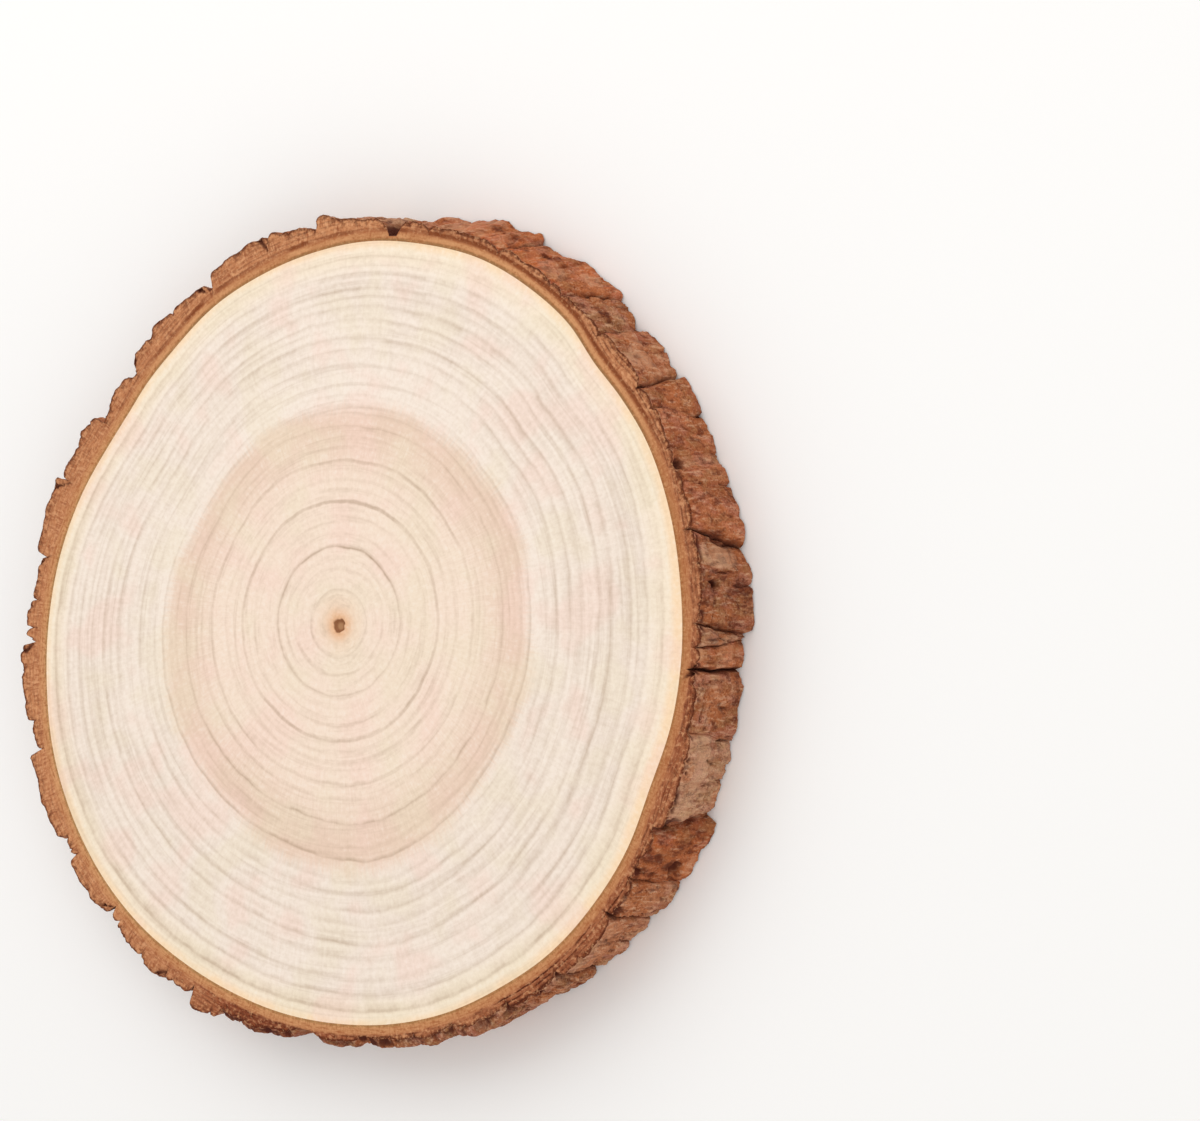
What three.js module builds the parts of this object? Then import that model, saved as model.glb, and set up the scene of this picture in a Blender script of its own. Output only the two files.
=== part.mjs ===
// A round slice sawn straight across a small trunk, its bark left on, lying flat on one sawn face.
// Millimetres. +Z runs along the trunk and up; angles are degrees anticlockwise from +X seen from above.
import * as THREE from 'three';

// Sizes of the slice
const THICKNESS = 18;
const UNDERSIDE_SHIFT = [0.2, 2.0]; // the trunk leans, so the lower outline sits a little to one side
const PITH = [-3.8, 1.8];
const PITH_RADIUS = 1.5;
const PITH_DEPTH = 0.7;
const PITH_SIDES = 14;

// Edge of the wood under the bark: [angle, radius]
const WOOD_EDGE = [
  [0, 89.4], [10, 89.6], [20, 90.2], [30, 90.6], [38, 90.0], [45, 89.5], [52, 91.1], [60, 91.6],
  [70, 91.8], [80, 90.9], [90, 90.2], [100, 88.9], [110, 87.7], [120, 86.7], [130, 85.0], [138, 84.4],
  [144, 83.9], [151, 84.5], [160, 86.3], [170, 88.0], [180, 89.3], [190, 90.5], [200, 91.8], [210, 92.2],
  [220, 92.1], [230, 91.4], [240, 90.2], [250, 89.4], [260, 89.1], [270, 88.9], [280, 89.1], [290, 89.3],
  [300, 89.2], [310, 89.6], [320, 89.3], [330, 88.9], [340, 87.9], [350, 88.9],
];

// Plates of bark, each followed by the crack that parts it from the next one:
// [start, end, radius at start and end of the upper edge, the same two at the lower edge,
//  radius of the crack's floor at the upper edge, angle the crack drifts on its way down,
//  depth of the crack at the lower edge against the upper one, how far the side stands out past
//  the edge of the saw cut]
const PLATES = [
  [4.4, 16.4, 94.2, 94.6, 96.5, 96.6, 92.8, -2.8, 0.85, 0.5],
  [17.3, 24.9, 94.6, 94.9, 97.6, 96.0, 93.2, 0.6, 0.2, 0.5],
  [26.7, 37.1, 95.2, 95.8, 95.9, 97.5, 93.4, 1.8, 0.7, 0.2],
  [38.2, 46.8, 96.3, 95.8, 96.6, 96.6, 94.2, 1.0, 0.6, 0],
  [47.8, 55.0, 95.2, 95.8, 95.8, 98.2, 94.6, -2.2, 0.85, 0],
  [55.8, 67.3, 95.8, 96.0, 99.0, 98.2, 94.7, 0.4, 0.85, 0],
  [68.0, 79.3, 96.0, 95.4, 99.6, 98.2, 93.9, 0.2, 0.85, 0],
  [80.1, 84.1, 95.2, 94.8, 97.3, 96.8, 91.7, 0.8, 0.3, 0],
  [87.3, 98.9, 95.4, 96.5, 95.8, 96.4, 93.6, 0.5, 0.85, 0],
  [99.8, 107.4, 94.7, 95.9, 95.6, 96.0, 94.6, -0.7, 0.85, 0],
  [108.0, 118.8, 96.2, 93.6, 96.4, 94.8, 90.9, 0.9, 0.85, 0],
  [120.5, 127.0, 92.5, 92.4, 93.4, 93.2, 91.3, -0.5, 0.85, 0],
  [127.6, 137.4, 92.6, 92.0, 93.4, 92.8, 88.7, 0.7, 0.85, 0],
  [139.8, 146.6, 90.4, 89.1, 91.2, 90.8, 88.6, -0.8, 0.85, 0],
  [148.3, 158.4, 92.2, 93.3, 92.6, 93.6, 91.6, 0.4, 0.85, 0],
  [159.0, 170.1, 95.0, 95.0, 94.8, 95.0, 92.1, -0.6, 0.85, 0],
  [171.2, 176.9, 93.2, 94.4, 93.6, 94.2, 93.2, 0.5, 0.85, 0],
  [177.4, 180.9, 95.0, 96.8, 95.0, 95.8, 93.9, 0.2, 0.85, 0],
  [181.5, 182.8, 95.9, 95.6, 95.4, 95.4, 93.6, 0.1, 0.85, 0],
  [183.8, 194.3, 97.8, 97.7, 97.2, 96.8, 95.6, 0.8, 0.85, 0],
  [195.0, 198.5, 96.2, 96.2, 95.8, 95.6, 94.9, -0.6, 0.85, 0],
  [199.3, 211.7, 99.1, 98.6, 97.4, 97.2, 96.0, 0.5, 0.85, 0],
  [212.4, 214.9, 96.8, 96.8, 96.0, 95.9, 95.6, 0.7, 0.85, 0],
  [215.5, 224.9, 98.5, 97.5, 96.8, 96.2, 93.4, -1.1, 0.85, 0],
  [226.0, 227.3, 96.6, 96.3, 95.2, 95.3, 95.0, 0.3, 0.85, 0],
  [227.6, 238.0, 97.2, 97.2, 95.5, 95.6, 95.2, 0.6, 0.85, 0],
  [238.6, 243.0, 96.5, 95.5, 95.0, 94.2, 93.1, 0.9, 0.85, 0],
  [244.1, 248.9, 97.5, 97.1, 95.6, 95.4, 94.9, -0.5, 0.85, 0],
  [249.6, 261.6, 94.9, 93.1, 94.3, 92.8, 91.4, 0.6, 0.85, 1.6],
  [266.9, 274.7, 92.6, 92.4, 91.6, 91.4, 91.6, 0.3, 0.85, 1.2],
  [275.5, 289.8, 92.7, 93.0, 92.2, 93.3, 92.2, -0.5, 0.85, 2.2],
  [290.5, 299.6, 93.3, 93.6, 93.4, 92.2, 92.6, 0.6, 0.85, 2.6],
  [300.4, 308.4, 94.6, 95.2, 93.2, 93.9, 92.8, 0.4, 0.85, 0.8],
  [309.8, 320.5, 95.5, 95.7, 94.0, 94.8, 92.8, -0.4, 0.85, 0],
  [321.5, 326.7, 94.8, 94.4, 94.8, 96.0, 92.8, 0.2, 0.85, 0.6],
  [327.5, 334.3, 94.0, 93.4, 96.2, 96.6, 92.0, 2.6, 0.7, 0.8],
  [335.6, 348.9, 94.5, 94.4, 94.6, 94.1, 93.2, -0.9, 0.6, 0.6],
  [349.5, 357.1, 93.3, 93.0, 94.2, 94.6, 90.6, 0.1, 0.85, 1.0],
  [358.2, 360.4, 93.7, 93.8, 94.8, 94.9, 92.6, 1.2, 0.85, 0.7],
  [361.0, 363.5, 93.8, 93.9, 94.9, 95.0, 92.6, -1.3, 0.85, 0.6],
];

// Hollows in the side of the bark: [angle, height, half width, half height, depth]
const HOLLOWS = [
  [9.1, 13.2, 1.5, 2.2, 2.2],
  [63.2, 9.0, 1.6, 2.0, 1.1],
  [68.2, 11.5, 2.4, 2.4, 1.2],
  [25.9, 15.6, 2.1, 2.9, 1.6],
  [37.7, 16.4, 1.3, 2.0, 1.4],
];

// How the bark is laid out and how rough it is
const COLUMN_STEP = 1.12; // degrees between two columns on a plate
const LEVELS = [1, 0.86, 0.71, 0.56, 0.4, 0.2, 0]; // rows down the side, in thicknesses
const NARROW_CRACK = 1.2; // degrees; a narrower crack is cut as a plain V
const NARROW_FLOOR = [0.5]; // where the floor's columns stand across a narrow crack
const WIDE_FLOOR = [0.3, 0.7];
const MIN_BARK = 0.8; // bark left over the wood at the bottom of a crack
const PLATE_CROWN = 0.35; // a plate stands this much higher along its middle
const RIDGES_PER_DEGREE = 0.55;
const RIDGE_LENGTH = 16;
const RIDGE_HEIGHT = 0.4;
const FLAKE_LENGTH = 5.5; // along the trunk
const FLAKE_STEP = 0.6; // the most that one flake stands above or below the plate
const FLAKE_SEED = 5;
const FLOOR_ROUGHNESS = 0.35; // share of the relief that reaches the floor of a crack

const radians = (degrees) => degrees * Math.PI / 180;
const mix = (a, b, share) => a + (b - a) * share;

// A repeatable draw between 0 and 1 for one pair of whole numbers.
function draw(i, j) {
  const wave = Math.sin(i * 127.1 + j * 311.7) * 43758.5453;
  return wave - Math.floor(wave);
}

// Smooth value noise between -1 and 1.
function noise(x, y) {
  const i = Math.floor(x);
  const j = Math.floor(y);
  const u = x - i;
  const v = y - j;
  const su = u * u * (3 - 2 * u);
  const sv = v * v * (3 - 2 * v);
  const low = mix(draw(i, j), draw(i + 1, j), su);
  const high = mix(draw(i, j + 1), draw(i + 1, j + 1), su);
  return 2 * mix(low, high, sv) - 1;
}

// Radius of the wood's edge at an angle, a smooth closed curve through WOOD_EDGE.
function woodRadius(degrees) {
  const count = WOOD_EDGE.length;
  const angle = ((degrees % 360) + 360) % 360;
  let index = count - 1;
  for (let i = 0; i < count; i += 1) {
    if (WOOD_EDGE[i][0] <= angle) index = i;
  }
  const node = (k) => {
    const turn = Math.floor(k / count);
    const point = WOOD_EDGE[k - turn * count];
    return [point[0] + 360 * turn, point[1]];
  };
  const slope = (k) => {
    const before = node(k - 1);
    const after = node(k + 1);
    return (after[1] - before[1]) / (after[0] - before[0]);
  };
  const [a0, r0] = node(index);
  const [a1, r1] = node(index + 1);
  const span = a1 - a0;
  const t = (angle - a0) / span;
  const t2 = t * t;
  const t3 = t2 * t;
  const starts = (2 * t3 - 3 * t2 + 1) * r0 + (t3 - 2 * t2 + t) * span * slope(index);
  return starts + (3 * t2 - 2 * t3) * r1 + (t3 - t2) * span * slope(index + 1);
}

// Point of the wood's edge at an angle; level is 1 on the upper face and 0 underneath.
function woodPoint(degrees, level) {
  const radius = woodRadius(degrees);
  const x = radius * Math.cos(radians(degrees)) + UNDERSIDE_SHIFT[0] * (1 - level);
  const y = radius * Math.sin(radians(degrees)) + UNDERSIDE_SHIFT[1] * (1 - level);
  return [x, y, THICKNESS * level];
}

// Columns of bark round the slice: where each stands, how it drifts and how far out it reaches.
function barkColumns() {
  const columns = [];
  PLATES.forEach((plate, index) => {
    const [start, end, upperStart, upperEnd, lowerStart, lowerEnd, floor, drift, low, shoulder] = plate;
    const previousDrift = PLATES[(index + PLATES.length - 1) % PLATES.length][7];
    const steps = Math.max(2, Math.round((end - start) / COLUMN_STEP));
    for (let k = 0; k <= steps; k += 1) {
      const share = k / steps;
      columns.push({
        angle: mix(start, end, share),
        drift: mix(previousDrift, drift, share),
        upper: mix(upperStart, upperEnd, share),
        lower: mix(lowerStart, lowerEnd, share),
        crown: 1 - Math.pow(2 * share - 1, 2),
        relief: 1,
        shoulder,
        plate: index,
      });
    }
    const next = PLATES[(index + 1) % PLATES.length];
    const nextStart = index + 1 < PLATES.length ? next[0] : next[0] + 360;
    const width = nextStart - end;
    const depth = Math.min(upperEnd, next[2]) - floor;
    const lowerFloor = Math.min(lowerEnd, next[4]) - depth * low;
    for (const share of width < NARROW_CRACK ? NARROW_FLOOR : WIDE_FLOOR) {
      columns.push({
        angle: mix(end, nextStart, share),
        drift,
        upper: floor,
        lower: lowerFloor,
        crown: 0,
        relief: FLOOR_ROUGHNESS,
        shoulder: 0,
        plate: index,
      });
    }
  });
  return columns;
}

// How far the flake at one height stands above its plate.
function flakeHeight(plate, height) {
  const flake = Math.floor(height / FLAKE_LENGTH + draw(plate, FLAKE_SEED));
  return FLAKE_STEP * (2 * draw(plate, FLAKE_SEED + 1 + flake) - 1);
}

// How far out the bark reaches on one column at a level between 0 and 1.
function barkRadius(column, level) {
  const angle = column.angle + column.drift * (1 - level);
  const height = THICKNESS * level;
  const ridges = RIDGE_HEIGHT * noise(angle * RIDGES_PER_DEGREE, height / RIDGE_LENGTH);
  const awayFromSaw = 4 * level * (1 - level);
  const flakes = flakeHeight(column.plate, height) * awayFromSaw;
  const shoulder = level < 1 ? column.shoulder : 0;
  let radius = mix(column.lower, column.upper + shoulder, level);
  radius += column.crown * PLATE_CROWN + column.relief * (ridges + flakes);
  for (const [at, rise, halfWidth, halfHeight, depth] of HOLLOWS) {
    const across = radians(angle - at) * radius / halfWidth;
    const along = (height - rise) / halfHeight;
    const inside = 1 - across * across - along * along;
    if (inside > 0) radius -= depth * Math.sqrt(inside);
  }
  const [x, y] = woodPoint(angle, level);
  return Math.max(radius, Math.hypot(x, y) + MIN_BARK);
}

// Collects corners and triangles of one closed body.
class Body {
  constructor() {
    this.positions = [];
    this.faces = [];
  }

  point(x, y, z) {
    this.positions.push(x, y, z);
    return this.positions.length / 3 - 1;
  }

  triangle(a, b, c) {
    this.faces.push(a, b, c);
  }

  // Joins two closed rows of equal length, the second one to the left when walking along the first.
  band(first, second) {
    const count = first.length;
    for (let i = 0; i < count; i += 1) {
      const j = (i + 1) % count;
      this.triangle(first[i], first[j], second[j]);
      this.triangle(first[i], second[j], second[i]);
    }
  }

  mesh(name, material) {
    const geometry = new THREE.BufferGeometry();
    geometry.setAttribute('position', new THREE.Float32BufferAttribute(this.positions, 3));
    geometry.setIndex(this.faces);
    geometry.computeVertexNormals();
    const mesh = new THREE.Mesh(geometry, material);
    mesh.name = name;
    return mesh;
  }
}

// The bark: one closed ring round the wood, cracked into plates on its outer side.
function buildBark(columns) {
  const body = new Body();
  const rows = LEVELS.map((level) => columns.map((column) => {
    const angle = radians(column.angle + column.drift * (1 - level));
    const radius = barkRadius(column, level);
    return body.point(radius * Math.cos(angle), radius * Math.sin(angle), THICKNESS * level);
  }));
  const innerTop = columns.map((column) => body.point(...woodPoint(column.angle, 1)));
  const innerBottom = columns.map((column) => body.point(...woodPoint(column.angle, 0)));
  body.band(rows[0], innerTop);
  for (let i = 1; i < rows.length; i += 1) body.band(rows[i], rows[i - 1]);
  body.band(innerBottom, rows[rows.length - 1]);
  body.band(innerTop, innerBottom);
  return body;
}

// One sawn face of the wood with the small hollow of the pith in it.
function addSawnFace(body, rim, level) {
  const outward = level === 1;
  const centreX = PITH[0] + UNDERSIDE_SHIFT[0] * (1 - level);
  const centreY = PITH[1] + UNDERSIDE_SHIFT[1] * (1 - level);
  const height = THICKNESS * level;
  const pith = [];
  for (let i = 0; i < PITH_SIDES; i += 1) {
    const angle = 2 * Math.PI * i / PITH_SIDES;
    const x = centreX + PITH_RADIUS * Math.cos(angle);
    pith.push(body.point(x, centreY + PITH_RADIUS * Math.sin(angle), height));
  }
  const flat = (index) => new THREE.Vector2(body.positions[3 * index], body.positions[3 * index + 1]);
  const corners = [...rim, ...pith];
  const triangles = THREE.ShapeUtils.triangulateShape(rim.map(flat), [pith.map(flat)]);
  for (const [a, b, c] of triangles) {
    const pa = flat(corners[a]);
    const pb = flat(corners[b]);
    const pc = flat(corners[c]);
    const turn = (pb.x - pa.x) * (pc.y - pa.y) - (pb.y - pa.y) * (pc.x - pa.x);
    if ((turn > 0) === outward) body.triangle(corners[a], corners[b], corners[c]);
    else body.triangle(corners[a], corners[c], corners[b]);
  }
  const deepest = body.point(centreX, centreY, height + (outward ? -PITH_DEPTH : PITH_DEPTH));
  for (let i = 0; i < PITH_SIDES; i += 1) {
    const next = pith[(i + 1) % PITH_SIDES];
    if (outward) body.triangle(pith[i], next, deepest);
    else body.triangle(next, pith[i], deepest);
  }
}

// The wood: a thin disc that fills the ring of bark.
function buildWood(columns) {
  const body = new Body();
  const top = columns.map((column) => body.point(...woodPoint(column.angle, 1)));
  const bottom = columns.map((column) => body.point(...woodPoint(column.angle, 0)));
  for (let i = 0; i < top.length; i += 1) {
    const j = (i + 1) % top.length;
    body.triangle(top[i], bottom[j], top[j]);
    body.triangle(top[i], bottom[i], bottom[j]);
  }
  addSawnFace(body, top, 1);
  addSawnFace(body, bottom, 0);
  return body;
}

// Puts the origin at the middle of the slice's outer box, on the underside.
function centre(body, outer) {
  const box = new THREE.Box3().setFromArray(outer);
  const middle = box.getCenter(new THREE.Vector3());
  for (let i = 0; i < body.positions.length; i += 3) {
    body.positions[i] -= middle.x;
    body.positions[i + 1] -= middle.y;
  }
}

const woodFinish = new THREE.MeshStandardMaterial({ color: 0xf1dcc3, roughness: 0.62, metalness: 0 });
const barkFinish = new THREE.MeshStandardMaterial({ color: 0x7f4f37, roughness: 0.88, metalness: 0 });

const columns = barkColumns();
const wood = buildWood(columns);
const bark = buildBark(columns);
const outline = [...bark.positions];
centre(wood, outline);
centre(bark, outline);

const slice = new THREE.Group();
slice.name = 'wood_slice';
slice.add(wood.mesh('wood_disc', woodFinish));
slice.add(bark.mesh('bark_ring', barkFinish));

export default slice;
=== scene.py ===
"""Dresses a round wood slice: a sanded disc of pale wood inside a cracked ring of bark.

Lengths are in millimetres unless a name says otherwise, and turn into metres as a mesh is made.
Angles are in degrees, anticlockwise from +X seen from above. A level is a height as a share of the
slice's thickness: 1 on the upper sawn face, 0 on the lower one.
"""

from __future__ import annotations

import logging
import math
from dataclasses import dataclass, field
from enum import Enum
from typing import TypeVar, Union

import bpy
import numpy as np
from mathutils import Matrix, Vector


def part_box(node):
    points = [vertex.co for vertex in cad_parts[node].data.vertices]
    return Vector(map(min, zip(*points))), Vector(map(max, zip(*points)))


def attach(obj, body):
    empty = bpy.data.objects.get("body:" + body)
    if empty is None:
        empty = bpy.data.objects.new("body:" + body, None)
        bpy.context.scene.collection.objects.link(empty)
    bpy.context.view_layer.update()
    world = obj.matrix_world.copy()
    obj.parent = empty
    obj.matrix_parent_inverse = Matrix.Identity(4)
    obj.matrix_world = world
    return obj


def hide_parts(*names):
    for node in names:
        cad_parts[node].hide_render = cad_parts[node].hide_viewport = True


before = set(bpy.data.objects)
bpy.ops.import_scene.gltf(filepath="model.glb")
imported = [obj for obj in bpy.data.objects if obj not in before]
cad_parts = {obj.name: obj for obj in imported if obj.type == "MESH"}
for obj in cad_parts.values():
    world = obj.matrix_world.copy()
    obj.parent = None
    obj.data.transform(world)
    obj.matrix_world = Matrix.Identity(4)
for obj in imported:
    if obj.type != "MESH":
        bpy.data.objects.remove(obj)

log = logging.getLogger("wood_slice")

MM = 0.001
NO_POINT = -1
Number = Union[float, "Value"]
Socket = bpy.types.NodeSocket
Pair = tuple[float, float]
Triple = tuple[float, float, float]
Kind = TypeVar("Kind")
Lengths = Union[np.ndarray, float]
Colour = tuple[float, float, float, float]
Stops = tuple[tuple[float, Colour], ...]


class Face(Enum):
    """The two sawn faces, each by its level."""

    UPPER = 1.0
    LOWER = 0.0


def tone(red: float, green: float, blue: float) -> Colour:
    """Turns a display colour into the linear one that a shader takes.

    Args:
        red: Red from 0 to 255.
        green: Green from 0 to 255.
        blue: Blue from 0 to 255.

    Returns:
        The linear colour with full alpha.
    """

    def linear(channel: float) -> float:
        """Linear value of one channel."""
        share = channel / 255
        return share / 12.92 if share <= 0.04045 else ((share + 0.055) / 1.055) ** 2.4

    return (linear(red), linear(green), linear(blue), 1.0)


def make_all(kind: type[Kind], *sizes: tuple[float, ...]) -> tuple[Kind, ...]:
    """Makes one object of a kind from each row of sizes."""
    return tuple(kind(*row) for row in sizes)


# Repeatable draws and noise


def draw(i: Lengths, j: Lengths) -> np.ndarray:
    """Draws a repeatable number between 0 and 1 for each pair of whole numbers."""
    wave = np.sin(np.asarray(i) * 127.1 + np.asarray(j) * 311.7) * 43758.5453
    return wave - np.floor(wave)


def noise(x: Lengths, y: Lengths) -> np.ndarray:
    """Smooth value noise between -1 and 1.

    Args:
        x: First coordinate, one unit to a cell.
        y: Second coordinate.

    Returns:
        The noise at each point.
    """
    x, y = np.broadcast_arrays(np.asarray(x, float), np.asarray(y, float))
    i, j = np.floor(x), np.floor(y)
    u, v = x - i, y - j
    su, sv = u * u * (3 - 2 * u), v * v * (3 - 2 * v)
    low = draw(i, j) * (1 - su) + draw(i + 1, j) * su
    high = draw(i, j + 1) * (1 - su) + draw(i + 1, j + 1) * su
    return 2 * (low * (1 - sv) + high * sv) - 1


def ease(value: np.ndarray, low: float, high: float) -> np.ndarray:
    """Smooth step from 0 at low to 1 at high."""
    share = np.clip((value - low) / (high - low), 0, 1)
    return share * share * (3 - 2 * share)


# Shader maths


class Value:
    """A number that changes over a surface, for use in Python expressions."""

    def __init__(self, shader: Shader, socket: Socket) -> None:
        """Wraps one output socket of a shader's tree."""
        self.shader = shader
        self.socket = socket

    def __add__(self, other: Number) -> Value:
        """Sum."""
        return self.shader.math("ADD", self, other)

    def __radd__(self, other: Number) -> Value:
        """Sum, reflected."""
        return self.shader.math("ADD", other, self)

    def __sub__(self, other: Number) -> Value:
        """Difference."""
        return self.shader.math("SUBTRACT", self, other)

    def __rsub__(self, other: Number) -> Value:
        """Difference, reflected."""
        return self.shader.math("SUBTRACT", other, self)

    def __mul__(self, other: Number) -> Value:
        """Product."""
        return self.shader.math("MULTIPLY", self, other)

    def __rmul__(self, other: Number) -> Value:
        """Product, reflected."""
        return self.shader.math("MULTIPLY", other, self)

    def clamped(self) -> Value:
        """The value kept between 0 and 1."""
        return self.shader.math("MINIMUM", self.shader.math("MAXIMUM", self, 0.0), 1.0)

    def to_whole(self) -> Value:
        """How far the value lies from the nearest whole number."""
        return self.shader.math("PINGPONG", self, 0.5)

    def off(self, other: Number) -> Value:
        """How far the value lies from another, whichever is larger."""
        return self.shader.math("ABSOLUTE", self - other, 0.0)

    def rise(self, low: float, high: float) -> Value:
        """Smooth step of the value.

        Args:
            low: Where the step leaves 0. It may be the larger of the two.
            high: Where the step reaches 1.

        Returns:
            A value between 0 and 1.
        """
        node = self.shader.node(
            "ShaderNodeMapRange",
            {"interpolation_type": "SMOOTHSTEP"},
            {"Value": self, "From Min": low, "From Max": high},
        )
        return Value(self.shader, node.outputs["Result"])


Tint = Union[Colour, Socket]


class Shader:
    """One material, built node by node."""

    def __init__(self, name: str) -> None:
        """Starts an empty material.

        Args:
            name: Name of the material.
        """
        self.material = bpy.data.materials.new(name)
        self.material.use_nodes = True
        self.tree = self.material.node_tree
        self.tree.nodes.clear()

    def node(
        self,
        kind: str,
        settings: dict[str, object] | None = None,
        sockets: dict[str | int, object] | None = None,
    ) -> bpy.types.Node:
        """Adds a node of any kind.

        Args:
            kind: The node's type name.
            settings: Its own settings, set first; stops are those of a ramp.
            sockets: Values, links and wrapped values for its inputs.

        Returns:
            The new node.
        """
        node = self.tree.nodes.new(kind)
        for key, setting in (settings or {}).items():
            if key == "stops":
                self._set_stops(node.color_ramp, setting)
            else:
                setattr(node, key, setting)
        for key, given in (sockets or {}).items():
            source = given.socket if isinstance(given, Value) else given
            if isinstance(source, Socket):
                self.tree.links.new(source, node.inputs[key])
            else:
                node.inputs[key].default_value = source
        return node

    @staticmethod
    def _set_stops(ramp: bpy.types.ColorRamp, stops: Stops) -> None:
        """Gives a ramp its stops.

        Args:
            ramp: The ramp of a new node.
            stops: Positions with their colours, in rising order.
        """
        while len(ramp.elements) < len(stops):
            ramp.elements.new(1.0)
        for element, (position, colour) in zip(ramp.elements, stops):
            element.position = position
            element.color = colour

    def math(self, operation: str, first: Number, second: Number) -> Value:
        """Adds one Math node on two numbers."""
        node = self.node("ShaderNodeMath", {"operation": operation}, {0: first, 1: second})
        return Value(self, node.outputs[0])

    def attribute(self, name: str) -> Value:
        """Reads a number stored on the mesh."""
        node = self.node("ShaderNodeAttribute", {"attribute_name": name})
        return Value(self, node.outputs["Fac"])

    def direction(self, name: str) -> Socket:
        """Reads a vector stored on the mesh."""
        return self.node("ShaderNodeAttribute", {"attribute_name": name}).outputs["Vector"]

    def place(self) -> Socket:
        """Place on the object, in metres."""
        return self.node("ShaderNodeTexCoord").outputs["Object"]

    def grain(
        self, vector: Socket, cells: float | Triple, detail: float, roughness: float = 0.5
    ) -> Value:
        """Noise between about 0 and 1.

        Args:
            vector: A place or a direction.
            cells: Cells to one unit of it, one number for all axes or one for each.
            detail: Octaves above the first.
            roughness: Strength of each octave against the one before.

        Returns:
            The noise.
        """
        factors = cells if isinstance(cells, tuple) else (cells,) * 3
        scaled = self.node("ShaderNodeVectorMath", {"operation": "MULTIPLY"}, {0: vector, 1: factors})
        sockets = {"Vector": scaled.outputs["Vector"], "Scale": 1.0}
        sockets |= {"Detail": detail, "Roughness": roughness}
        return Value(self, self.node("ShaderNodeTexNoise", None, sockets).outputs[0])

    def ramp(self, factor: Number, stops: Stops) -> Socket:
        """Colour picked from a ramp."""
        return self.node("ShaderNodeValToRGB", {"stops": stops}, {"Fac": factor}).outputs["Color"]

    def over(self, base: Tint, *coats: tuple[Number, Tint]) -> Tint:
        """Lays coats of colour over a base, one after another.

        Args:
            base: Colour of the base.
            coats: For each coat, how much it covers, from 0 to 1, and its colour.

        Returns:
            The colour with all coats on it.
        """
        for share, tint in coats:
            mixed = self.node("ShaderNodeMix", {"data_type": "RGBA"}, {0: share, 6: base, 7: tint})
            base = mixed.outputs[2]
        return base

    def bump(self, height: Value, depth: float) -> Socket:
        """Normal bent by a height between 0 and 1 that stands for a depth in millimetres."""
        sockets = {"Height": height, "Distance": depth * MM, "Strength": 1.0}
        return self.node("ShaderNodeBump", None, sockets).outputs["Normal"]

    def surface(
        self, colour: Tint, roughness: Number, normal: Socket | None, shine: float
    ) -> bpy.types.Material:
        """Closes the material with one surface shader.

        Args:
            colour: Base colour.
            roughness: Roughness.
            normal: Bent normal, if any.
            shine: Specular level, the same all over.

        Returns:
            The finished material.
        """
        sockets = {"Base Color": colour, "Roughness": roughness, "Specular IOR Level": shine}
        if normal is not None:
            sockets["Normal"] = normal
        surface = self.node("ShaderNodeBsdfPrincipled", None, sockets)
        self.node("ShaderNodeOutputMaterial", None, {"Surface": surface.outputs["BSDF"]})
        return self.material


# Shape of the wood


@dataclass(frozen=True)
class Wave:
    """A place where the rings swell outwards, or inwards where the height is negative."""

    angle: float
    half_angle: float
    growth: float
    half_growth: float
    height: float


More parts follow.
